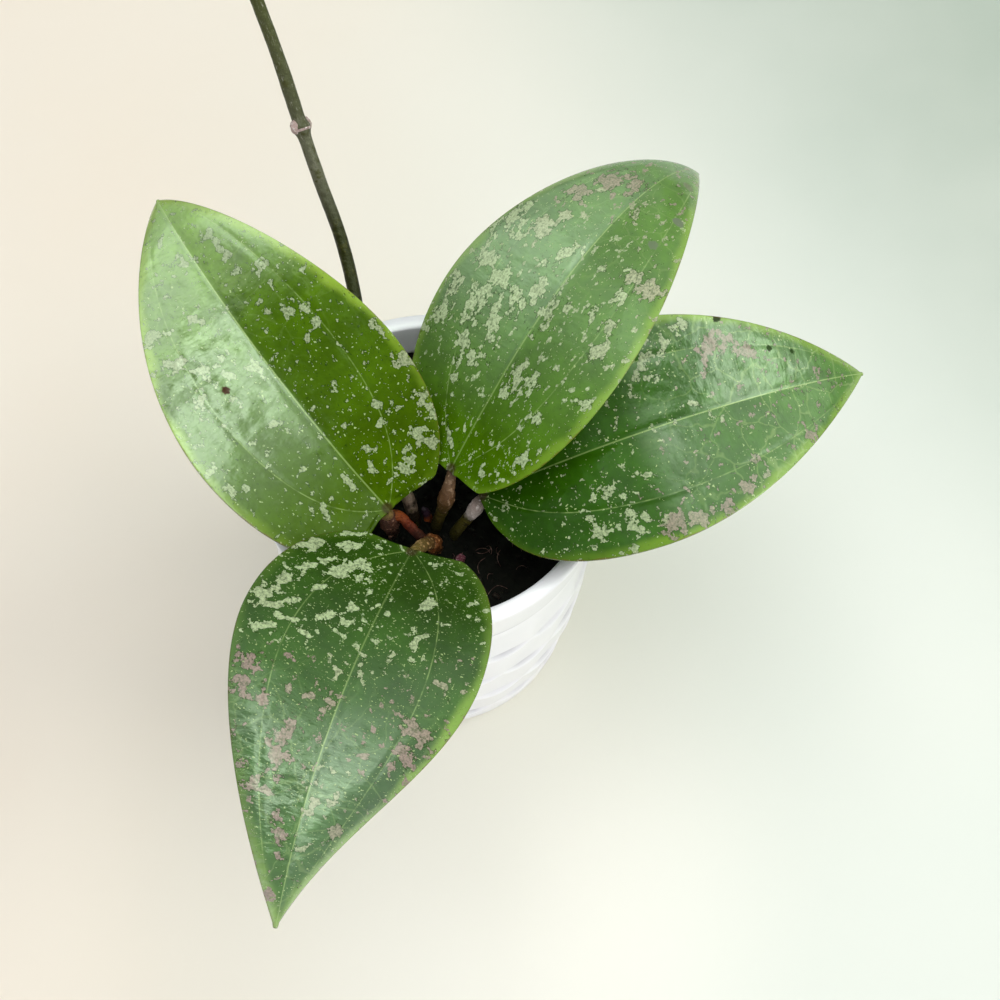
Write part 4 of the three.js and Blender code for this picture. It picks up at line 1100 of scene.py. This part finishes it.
def soil_height(x, y):
    """The CAD soil's soft lumps, and finer clods that fade at the wall."""
    lumps = math.sin(x * 0.31 + 1.3) * math.cos(y * 0.27 - 0.4)
    lumps += 0.6 * math.sin(x * 0.72 - y * 0.51 + 2.1) + 0.4 * math.sin(x * 1.1 + y * 1.3)
    edge = max(0.0, min(1.0, (SOIL_RADIUS - math.hypot(x, y)) / LEVEL_EDGE))
    clods = 0.5 * noise.noise(Vector((x / 2.2, y / 2.2, 5))) + 0.25 * noise.noise(Vector((x, y, 9)))
    return SOIL_TOP + LUMP * lumps * edge + clods * min(1, edge * 2 + 0.2)


soil_profile = [(0, WELL_FLOOR + GAP), (R_WELL - GAP, WELL_FLOOR + GAP), (R_WELL + 2.5 - GAP, WELL_FLOOR + 4)]
soil_profile += [(wall_radius(54) - WALL - GAP, 54)]
soil_profile += [(SOIL_RADIUS * (RINGS - i) / RINGS, SOIL_TOP) for i in range(RINGS + 1)]
soil = lathe("soil_bed", soil_profile, SOIL_STEPS)
for vertex in soil.data.vertices:
    if abs(vertex.co.z / MM - SOIL_TOP) < 0.01:
        vertex.co.z = soil_height(vertex.co.x / MM, vertex.co.y / MM) * MM
bpy.ops.object.shade_smooth()
print("soil", [round(size / MM, 1) for size in soil.dimensions])

# %% [markdown]
# Damp peat is matt and dark, and only its dry grains are brown; the peat and its crumbs are painted almost black
# for the shade of the leaves over the soil. One noise gives both the grains' colour and their bump, so that they
# agree. Bark and fibres are the same stuff, only lighter.

# %% Soil material
def damp_mix(name, dark, light, roughness):
    """Peat, bark or fibre: dark, matt and grainy, a little lighter where it is dry."""
    made, tree = new_material(name)
    place = node(tree, "TexCoord", out="Object")
    grain = node(tree, "TexNoise", {"Vector": place, "Scale": 700.0, "Detail": 4.0})
    dry = node(tree, "MapRange", {"Value": grain, "From Min": 0.45, "From Max": 0.72})
    colour = node(tree, "Mix", {0: dry, 6: srgb(dark), 7: srgb(light)}, **COLOURS)
    bump = node(tree, "Bump", {"Height": grain, "Distance": 0.3 * MM, "Strength": 1.0})
    body = {"Base Color": colour, "Roughness": roughness, "IOR": 1.3, "Normal": bump}
    node(tree, "OutputMaterial", {"Surface": node(tree, "BsdfPrincipled", body)})
    return made


# Painted shade: the peat's colours are near black for the shade of the leaves over it.
soil.data.materials.append(damp_mix("damp_peat_and_painted_shade", "020101", "0B0705", 0.9))
hand_over(soil, "potting_soil", "soil")

# %% [markdown]
# Crumbs and chips are made once, as a small knobbly stone, and copied with a turn and size of their own. They
# keep clear of the stems and the wall.

# %% Crumbs and chips
STEM_HOLES = ((1.6, -13.3), (7.3, -15.0), (-10.9, -16.0), (2.1, -20.2), (-4.6, -11.9), (-0.9, -11.0),
              (9.5, -23.5))
STEM_CLEAR = 2.6  # mm from a stem's middle to a crumb's edge
HIGHEST = 96.6  # no crumb stands higher
draw = random.Random(7)


def scatter_copies(name, count, smallest, largest, reach, flat):
    """Copies of one knobbly stone, spread over the soil and joined as one piece."""
    stone = primitive(bpy.ops.mesh.primitive_ico_sphere_add, name, subdivisions=2, radius=0.5)
    for vertex in stone.data.vertices:
        vertex.co *= 1 + 0.35 * noise.noise(vertex.co * 4)
    copies = []
    while len(copies) < count:
        angle, out = draw.uniform(0, 2 * math.pi), reach * math.sqrt(draw.random())
        size = draw.uniform(smallest, largest)
        x, y = out * math.cos(angle), out * math.sin(angle)
        turn = [draw.uniform(-0.5, 0.5), draw.uniform(-0.5, 0.5), draw.uniform(0, 6.28)]
        shape = (draw.uniform(0.8, 1.3), draw.uniform(0.5, 0.9), flat * draw.uniform(0.7, 1.2))
        if any(math.hypot(x - a, y - b) < STEM_CLEAR + size / 2 for a, b in STEM_HOLES):
            continue
        mesh = stone.data.copy()
        scale = Matrix.Diagonal([part * size * MM for part in shape] + [1])
        lean = Matrix.Rotation(turn[0], 4, "X") @ Matrix.Rotation(turn[1], 4, "Y")
        rotate = Matrix.Rotation(turn[2], 4, "Z") @ lean
        lift = min(soil_height(x, y) + 0.1 * size, HIGHEST - 0.5 * size)
        mesh.transform(Matrix.Translation(Vector((x, y, lift)) * MM) @ rotate @ scale)
        copies.append(bpy.data.objects.new(name, mesh))
        bpy.context.scene.collection.objects.link(copies[-1])
    bpy.data.objects.remove(stone)
    spread = join(copies, name)
    bpy.ops.object.shade_smooth()
    return spread


crumbs = scatter_copies("soil_crumbs", 420, 0.6, 1.7, 42.5, 0.8)
# Painted shade: the crumbs are darkened with the peat.
crumbs.data.materials.append(damp_mix("peat_crumbs", "040202", "160E0A", 0.85))
hand_over(crumbs, "potting_soil")
chips = scatter_copies("bark_chips", 46, 2.0, 3.4, 39.0, 0.5)
chips.data.materials.append(damp_mix("wet_bark", "070403", "24130E", 0.6))
hand_over(chips, "potting_soil")

# %% [markdown]
# ## Rods that follow a path
# Stems, leaf stalks, the shoot and the fibres are all rods with a changing thickness along a bent path. The
# path is the same smooth curve as in the CAD. A flat grid is rolled into a tube round it, its two ends drawn to
# a point and its seam merged, so the rod is one closed skin.

# %% Paths
PER_SPAN = 40  # points between two given ones
FINE = 400  # steps along a whole path


def smooth_path(points, steps=FINE):
    """Evenly spaced points on a centripetal curve through the given ones, and its length."""
    knots = [np.array(point, float) for point in points]
    knots = [2 * knots[0] - knots[1]] + knots + [2 * knots[-1] - knots[-2]]
    fine = []
    for a, b, c, d in zip(knots, knots[1:], knots[2:], knots[3:]):
        gaps = [max(1e-4, float(np.linalg.norm(q - p))) ** 0.5 for p, q in ((a, b), (b, c), (c, d))]
        start = ((b - a) / gaps[0] - (c - a) / (gaps[0] + gaps[1]) + (c - b) / gaps[1]) * gaps[1]
        end = ((c - b) / gaps[1] - (d - b) / (gaps[1] + gaps[2]) + (d - c) / gaps[2]) * gaps[1]
        for k in range(PER_SPAN):
            s = k / PER_SPAN
            bend, twist = 3 * (c - b) - 2 * start - end, 2 * (b - c) + start + end
            fine.append(b + start * s + bend * s**2 + twist * s**3)
    fine = np.array(fine + [knots[-2]])
    reach = np.concatenate([[0], np.cumsum(np.linalg.norm(np.diff(fine, axis=0), axis=1))])
    even = np.linspace(0, reach[-1], steps + 1)
    return np.stack([np.interp(even, reach, fine[:, axis]) for axis in range(3)], 1), reach[-1]


def frames_along(path):
    """Two directions across the path at each point, turned as little as possible from one to the next."""
    ahead = np.gradient(path, axis=0)
    ahead /= np.linalg.norm(ahead, axis=1)[:, None]
    first = np.cross(ahead[0], (0.3, 1, 0.2))
    sides = []
    for direction in ahead:
        first = first - direction * first.dot(direction)
        first /= np.linalg.norm(first)
        sides.append(first)
    sides = np.array(sides)
    return sides, np.cross(ahead, sides)


print("a path is read at", FINE, "places")

# %% [markdown]
# Each corner of the flat grid knows its turn round the rod and its row along it, and the radius there is a
# formula of its own for each rod. Noise adds lumps of a given height and size. The corner also keeps its share
# of the path, so that the bark can change along the rod.

# %% Rods
def rod(name, points, radius, start=0.0, stop=1.0, sides=20, spacing=0.5, knobs=(0.0, 1.0), seed=0):
    """A rod between two shares of a path; knobs are the height and size of its lumps, in mm."""
    path, length = smooth_path(points)
    normals, binormals = frames_along(path)
    rows = max(8, int(length * (stop - start) / spacing))
    piece = primitive(bpy.ops.mesh.primitive_grid_add, name, x_subdivisions=sides, y_subdivisions=rows, size=1)
    shares = []
    for vertex in piece.data.vertices:
        turn, row = (vertex.co.x + 0.5) * 2 * math.pi, (vertex.co.y + 0.5) * rows
        inner = min(max(row - 1, 0), rows - 2) / (rows - 2)  # the first and last rows close the ends
        share = start + (stop - start) * inner
        at = share * FINE
        k = min(int(at), FINE - 1)
        middle = path[k] + (path[k + 1] - path[k]) * (at - k)
        out = normals[k] * math.cos(turn) + binormals[k] * math.sin(turn)
        wide = radius(share)
        on_skin = Vector((middle + out * wide) / knobs[1])
        wide += knobs[0] * noise.noise(on_skin + Vector((0, 0, seed)))
        closed = round(row) in (0, rows)
        vertex.co = Vector(middle if closed else middle + out * wide) * MM
        shares.append((share, turn, 0))
    set_attribute(piece.data, "along_rod", shares)
    bpy.ops.object.mode_set(mode="EDIT")
    bpy.ops.mesh.select_all(action="SELECT")
    bpy.ops.mesh.remove_doubles(threshold=0.003 * MM)
    bpy.ops.mesh.normals_make_consistent(inside=False)
    bpy.ops.object.mode_set(mode="OBJECT")
    bpy.ops.object.shade_smooth_by_angle(angle=math.radians(50))
    return piece


def bulge(s, middle, width):
    """A smooth swelling of a rod round one place on it."""
    return math.exp(-(((s - middle) / width) ** 2))


print("a swelling 0.1 wide falls to", round(bulge(0.1, 0.0, 0.1), 2), "at its edge")

# %% [markdown]
# Bark changes along a stem: nearly black at the soil, then green, tan or brown, with corky patches of another
# colour. The zones are painted darker than the bark is, and darkest at the soil, for the shade of the leaves
# over the crown. A stem's finish reads how far along the rod a point lies, as (share, hex) pairs. The old part
# of the long shoot also has fine grey streaks.

# %% Bark
STREAK = "9C9A88"


def stalk_skin(name, zones, corky, size=1.6, roughness=0.45, streaks=0.0):
    """Living bark in zones, with corky patches of a size in mm, and streaks."""
    made, tree = new_material(name)
    along = node(tree, "Attribute", attribute_name="along_rod", out="Vector")
    share = node(tree, "SeparateXYZ", {0: along}, out="X")
    place = node(tree, "TexCoord", out="Object")
    patches = node(tree, "TexNoise", {"Vector": place, "Scale": 1 / (size * MM), "Detail": 3.0, "Roughness": 0.6})
    drift = node(tree, "Math", {0: patches, 1: 0.12, 2: share}, operation="MULTIPLY_ADD")
    colour = srgb(zones[0][1])
    for (low, _), (high, code) in zip(zones, zones[1:]):
        here = node(tree, "MapRange", {"Value": drift, "From Min": low + 0.06, "From Max": high + 0.06})
        colour = node(tree, "Mix", {0: here, 6: colour, 7: srgb(code)}, **COLOURS)
    worn = node(tree, "MapRange", {"Value": patches, "From Min": 0.56, "From Max": 0.66, "To Max": 0.8})
    colour = node(tree, "Mix", {0: worn, 6: colour, 7: srgb(corky)}, **COLOURS)
    if streaks:
        drawn_out = node(tree, "Mapping", {"Vector": along, "Scale": (70.0, 3.0, 1.0)})
        scratch = node(tree, "TexNoise", {"Vector": drawn_out, "Scale": 1.0, "Detail": 4.0, "Roughness": 0.7})
        scratch = {"Value": scratch, "From Min": 0.58, "From Max": 0.68, "To Max": streaks}
        scratch = node(tree, "MapRange", scratch)
        aged = node(tree, "MapRange", {"Value": share, "From Min": 0.6, "From Max": 0.74, "To Min": 0.15})
        scratch = node(tree, "Math", {0: scratch, 1: aged}, operation="MULTIPLY")
        colour = node(tree, "Mix", {0: scratch, 6: colour, 7: srgb(STREAK)}, **COLOURS)
    grain = node(tree, "TexNoise", {"Vector": place, "Scale": 1 / (0.35 * MM), "Detail": 2.0})
    shade = {"Value": grain, "From Min": 0.3, "From Max": 0.7, "To Min": 0.8, "To Max": 1.15}
    shade = node(tree, "MapRange", shade)
    colour = node(tree, "VectorMath", {0: colour, "Scale": shade}, operation="SCALE")
    bump = node(tree, "Bump", {"Height": patches, "Distance": 0.8 * MM, "Strength": 1.0})
    bark = {"Base Color": colour, "Roughness": roughness, "IOR": 1.3, "Normal": bump}
    node(tree, "OutputMaterial", {"Surface": node(tree, "BsdfPrincipled", bark)})
    return made


print("streaks on the old shoot are", STREAK)

# %% [markdown]
# ## Stems and leaf stalks
# Old wood, green stems and a stubby stalk under each leaf meet in the crown. Where a stalk leaves its stem
# there is a swollen, scaly joint, so the thickness follows a few bulges, and the bark is lumpy there.

# %% Where the stems run
FOOT = 87.0  # where each stem ends in its hole in the soil
PATHS = {
    "back": [(1.2, -13.6, FOOT), (1.6, -13.3, 96), (3, -12.1, 103), (4.3, -10.4, 109), (5, -8.6, 114.5),
             (5.9, -5.2, 119.6)],
    "right": [(6.6, -15.4, FOOT), (7.3, -15, 96), (10.2, -13.3, 102), (12.4, -12.6, 107.5), (13.6, -11.8, 111.3),
              (15.6, -10.7, 115)],
    "left": [(-10.6, -15.6, FOOT), (-10.9, -16, 97), (-11.3, -17, 106), (-11.6, -17.6, 111),
             (-12.6, -16.8, 115.9)],
    "front": [(2.4, -19.8, FOOT), (2.1, -20.2, 95), (1.3, -21.2, 102), (-0.6, -24.8, 109.5), (-2.3, -29.6, 117),
              (-3.7, -33.7, 122.2)],
    "runner": [(-10.9, -16.2, 108.5), (-8.6, -16.3, 108.6), (-5.9, -17.9, 106.9), (-2.4, -20.1, 104.2),
               (0.9, -21.1, 101.6)],
    "stub": [(-0.8, -10.8, FOOT + 3), (-0.9, -11, 97), (-1.9, -11.6, 104)],
    "bud": [(9.4, -23.6, FOOT + 5), (9.5, -23.5, 96), (9.2, -23.3, 99.5)],
}
RADII = {
    "back": lambda s: 1.65 + 0.8 * bulge(s, 0.66, 0.1) - 0.25 * bulge(s, 0.98, 0.12),
    "right": lambda s: 1.6 + 0.55 * bulge(s, 0.76, 0.1) - 0.2 * bulge(s, 0.98, 0.1),
    "left": lambda s: 1.9 + 0.75 * bulge(s, 0.66, 0.13) - 0.3 * bulge(s, 1, 0.1),
    "front": lambda s: 1.9 + 0.7 * bulge(s, 0.38, 0.08) - 0.35 * bulge(s, 0.95, 0.2),
    "runner": lambda s: 1.45 + 0.3 * bulge(s, 0, 0.15),
    "stub": lambda s: 1.2 - 0.55 * bulge(s, 1, 0.12),
    "bud": lambda s: 0.95 + 0.45 * bulge(s, 0.75, 0.2) - 0.85 * bulge(s, 1, 0.12),
}
SPLIT = {"back": 0.52, "right": 0.6, "left": 0.84, "front": 0.48}  # where stem turns into stalk
for part, points in PATHS.items():
    print(part, "is", round(smooth_path(points)[1], 1), "mm long")

# %% [markdown]
# Each stem and stalk has a bark of its own, read off the photograph from the soil upwards. The brown and the
# tan stem and the orange runner between them are one old piece of wood.

# %% Stems
def stalk(part, name, start, stop, look, knobs, seed):
    """A part of one of the paths as a rod in its bark."""
    made = rod(name, PATHS[part], RADII[part], start, stop, knobs=knobs, seed=seed)
    made.data.materials.append(look)
    return made


# The nearly black first zones of these barks are painted shade of the leaves over the crown.
green_stem = stalk_skin("young_green_stem", [(0.0, "0E0D05"), (0.35, "2E2A0E"), (0.6, "4C4218")], "120C07")
pale_stem = stalk_skin("young_yellow_stem", [(0.0, "0E0D05"), (0.3, "2C2A0E"), (0.55, "4A4418")], "140E07")
old_zones = [(0.0, "0A0604"), (0.4, "1E120C"), (0.62, "4E3226")]
old_wood = stalk_skin("old_brown_wood", old_zones, "C0937C", size=1.1)
orange_zones = [(0.0, "5A3E16"), (0.15, "803A10"), (0.35, "5C1E06"), (0.6, "320E04"), (0.9, "180804")]
orange_bark = stalk_skin("orange_red_bark", orange_zones, "1E0804", size=1.1, roughness=0.6)
tan_zones = [(0.0, "0A0603"), (0.25, "1E130A"), (0.42, "5A3214")]
tan_wood = stalk_skin("tan_knobbly_wood", tan_zones, "B07A48", size=1.1)
main = join(
    [
        stalk("left", "stem_left", 0.01, SPLIT["left"], old_wood, (0.8, 1.2), 1),
        stalk("front", "stem_front", 0.01, SPLIT["front"], tan_wood, (0.9, 1.2), 2),
        stalk("runner", "stem_runner", 0.0, 1.0, orange_bark, (0.3, 1.8), 3),
    ],
    "wood_main",
)
hand_over(main, "woody_stem", "stem_main")
for seed, side, look in ((4, "back", green_stem), (5, "right", pale_stem)):
    made = stalk(side, f"green_{side}", 0.01, SPLIT[side], look, (0.25, 1.6), seed)
    hand_over(made, "green_stem", f"stem_{side}")

# %% [markdown]
# A leaf's own stalk is short, thick and corky, and each has aged in its own way: brown, grey-brown, nearly white
# or tan. It begins a hair beyond its stem and follows the same path, so the two line up.

# %% Leaf stalks
# Their darker zones are partly painted shade of the leaves over the crown.
STALK_TONES = {  # bark from the stem to the leaf, and its corky patches
    "left": ([(0.8, "7A5A46"), (0.9, "7E6A3E"), (1.0, "6A6A30")], "4E3424"),
    "back": ([(0.5, "2E280E"), (0.6, "4A3818"), (0.72, "5E4228"), (0.85, "6E543C"), (1.0, "3E3022")], "A08468"),
    "right": ([(0.6, "3E3C16"), (0.7, "BCB0A6"), (0.84, "9C8C82"), (0.95, "3E3428")], "DCD2CA"),
    "front": ([(0.45, "3E2610"), (0.6, "4E3A1C"), (1.0, "6E6030")], "C09A6A"),
}
for seed, side in enumerate(LEAVES, 11):
    zones, corky = STALK_TONES[side]
    skin = stalk_skin(f"leaf_stalk_{side}", zones, corky)
    made = stalk(side, f"stalk_{side}", SPLIT[side] + 0.008, 0.985, skin, (0.3, 1.2), seed)
    hand_over(made, "petiole", f"petiole_{side}")

# %% [markdown]
# ## Stub and bud
# A dead stub with a dark purple end and a young pink bud come up between the stems. They are short rods, drawn
# in at the top by a negative swelling.

# %% Stub and bud
stub_zones = [(0.0, "7A4A2A"), (0.5, "B05A2C"), (0.75, "3A2430"), (1.0, "241A24")]
stub_skin = stalk_skin("dying_stub", stub_zones, "4A3038")
stub = stalk("stub", "stub_dark", 0.02, 1.0, stub_skin, (0.3, 1.0), 21)
hand_over(stub, "woody_stem", "stub_old")
bud_skin = stalk_skin("pink_bud", [(0.0, "2A1410"), (0.4, "4E2430"), (0.9, "6A343E")], "D0A8AC", size=0.7)
bud = stalk("bud", "bud_pink", 0.02, 1.0, bud_skin, (0.3, 0.9), 22)
hand_over(bud, "bud", "bud")

# %% [markdown]
# ## The long shoot
# A hoya sends out leafless shoots: wiry, olive, with a node every hand's breadth. Each node is a ring with two
# small scars, and near the tip two tiny leaves start beside it. The shoot is one more rod, swollen at its nodes,
# and the scars and young leaves are eggs pressed from small spheres.

# %% Shoot
VINE = [(-4.6, -11.8, FOOT), (-4.6, -11.9, 95), (-5.1, -12, 101), (-6.6, -9.9, 107), (-10.3, -4.1, 111.5),
        (-14.7, 7.3, 114.5), (-19.2, 21, 117), (-23.8, 34.9, 119), (-26.3, 46.4, 121.5), (-31.3, 61.2, 127),
        (-38.6, 75.7, 135.5), (-45.5, 89.5, 145.5), (-51.4, 101.1, 156.5), (-57.9, 112.1, 168.5),
        (-60.4, 116.5, 173.5), (-62.7, 120.2, 178)]
NODE_LOW, NODE_HIGH = 0.724, 0.955  # where the nodes are, as shares of the shoot
SCAR_TURN = 30.0  # degrees, so that one scar shows from in front


def vine_radius(s):
    """Half the shoot's thickness: a wire with swollen nodes and a rounded tip."""
    return (
        1.9
        + 0.8 * bulge(s, NODE_LOW, 0.009)
        + 0.15 * bulge(s, NODE_LOW + 0.05, 0.05)
        + 0.45 * bulge(s, NODE_HIGH, 0.011)
        - 1.2 * bulge(s, 1, 0.014)
    )


def beside_vine(name, share, side, reach, lean, size, look, turned=0.0):
    """A small egg on the shoot's side: a scar, or a young leaf that leans out."""
    path, _ = smooth_path(VINE)
    k = round(share * FINE)
    ahead = Vector(path[min(k + 1, FINE)] - path[k - 1]).normalized()
    out = Vector((ahead.y, -ahead.x, 0)).normalized() * side
    out = Matrix.Rotation(math.radians(turned), 3, ahead) @ out
    up = (ahead + out * lean).normalized()
    across = up.cross(out).normalized()
    middle = Vector(path[k]) + out * reach + up * (size[2] - 1.5)
    egg = primitive(bpy.ops.mesh.primitive_ico_sphere_add, name, subdivisions=4, radius=1)
    turn = Matrix((across.cross(up), across, up)).transposed().to_4x4()
    for vertex in egg.data.vertices:
        vertex.co.z += 0.15 * max(0.0, vertex.co.z) ** 3
        vertex.co *= 1 + 0.12 * noise.noise(vertex.co * 2.5 + Vector((side, share, 0)))
    egg.data.transform(Matrix.Diagonal((*[part * MM for part in size], 1)))
    egg.data.transform(Matrix.Translation(middle * MM) @ turn)
    bpy.ops.object.shade_smooth()
    egg.data.materials.append(look)
    return egg


print("the shoot is", round(smooth_path(VINE)[1], 1), "mm long")

# %% [markdown]
# The shoot is nearly black at its foot, with a pale spot just above, both painted: shade in the crown and a
# highlight. It is deep green under the leaf, greyer where corky streaks run along the old skin, and fresh green
# again at the tip. Ring, scars and young leaves are joined to it as one piece.

# %% Parts of the shoot
# Painted shade near black at the foot, and a painted highlight in the pale zone at 0.115 of the shoot.
SHOOT_TONES_AND_PAINTED_LIGHT = [(0.0, "0E0A06"), (0.085, "241C12"), (0.115, "8A7866"), (0.14, "46481A"), (0.25, "1E2002"),
               (0.55, "242604"), (0.66, "5E5E4A"), (0.76, "46482E"), (0.95, "41451F"), (1.0, "6A6A38")]
vine_skin = stalk_skin("olive_shoot", SHOOT_TONES_AND_PAINTED_LIGHT, "38380F", size=2.4, roughness=0.42, streaks=0.7)
scar_skin = stalk_skin("pinkish_leaf_scar", [(0.0, "AE9890")], "F4ECE6", size=0.8)
young_skin = stalk_skin("young_leaf_green", [(0.0, "6E7A38")], "8A5A40", size=1.2)
shoot = rod("shoot_rod", VINE, vine_radius, 0.002, 1.0, sides=24, spacing=0.7, knobs=(0.07, 3.0), seed=31)
shoot.data.materials.append(vine_skin)
ring = rod("node_ring", VINE, lambda s: vine_radius(s) + 0.1, 0.7195, 0.7235, sides=24, spacing=0.15,
           knobs=(0.2, 0.9), seed=32)
ring.data.materials.append(scar_skin)
extras = [ring]
for side in (-1, 1):
    extras.append(beside_vine(f"scar_{side}", NODE_LOW, side, 2.0, 0.1, (1.7, 1.3, 1.9), scar_skin, SCAR_TURN))
    extras.append(beside_vine(f"young_{side}", NODE_HIGH, side, 1.7, 0.35, (1.1, 0.8, 4.4), young_skin))
shoot = join([shoot] + extras, "shoot")
hand_over(shoot, "vine", "vine")

# %% [markdown]
# ## Coir fibres
# Hair-thin reddish fibres of coconut husk curl on the soil, most of them in front of the stems. The real ones
# are thinner than a pixel, so each is a thin rod just wide enough to show. A dozen are placed, and the rest lie
# where the random draw puts them.

# %% Fibres
FIBRE_RADIUS, FIBRE_BENDS = 0.09, 5
FIBRES = [  # place, turn in degrees, length in mm, and how high the fibre arches
    ((-2, -22.6), 70, 7, 1.0), ((6.5, -25.5), 30, 9, 0.6), ((12, -30), -20, 8, 1.2),
    ((9.5, -34), 75, 10, 0.8), ((15, -27), 100, 8, 1.4), ((4, -29), 10, 7, 0.7),
    ((18, -33), 50, 9, 0.9), ((13, -37.5), 20, 8, 1.1), ((21, -24), 120, 7, 0.8),
    ((1.5, -26), 140, 6, 0.6), ((24, -18), 80, 8, 1.0), ((7, -38), 160, 7, 0.9),
]
for _ in range(26):
    angle, out = draw.uniform(-1.5, 0.4), draw.uniform(24, 38)
    spot = (out * math.cos(angle), out * math.sin(angle))
    FIBRES.append((spot, draw.uniform(0, 360), draw.uniform(2.5, 7), draw.uniform(0.4, 1.4)))
fibre_skin = damp_mix("coir_fibre", "3A2420", "8A6E62", 0.5)
threads = []
for number, ((x, y), turn, length, arch) in enumerate(FIBRES):
    heading, length = math.radians(turn), 0.65 * length
    points = []
    for k in range(FIBRE_BENDS + 1):
        s = k / FIBRE_BENDS
        bow = heading + 0.9 * (s - 0.5) * (1 if number % 2 else -1)
        px, py = x + length * s * math.cos(bow), y + length * s * math.sin(bow)
        height = soil_height(px, py) + 0.25 + 1.1 * arch * math.sin(math.pi * s)
        points.append((px, py, min(HIGHEST - 0.1, height)))
    thread = rod(f"fibre_{number}", points, lambda s: FIBRE_RADIUS, sides=6, spacing=0.6)
    thread.data.materials.append(fibre_skin)
    threads.append(thread)
fibres = join(threads, "coir_fibres")
hand_over(fibres, "potting_soil")
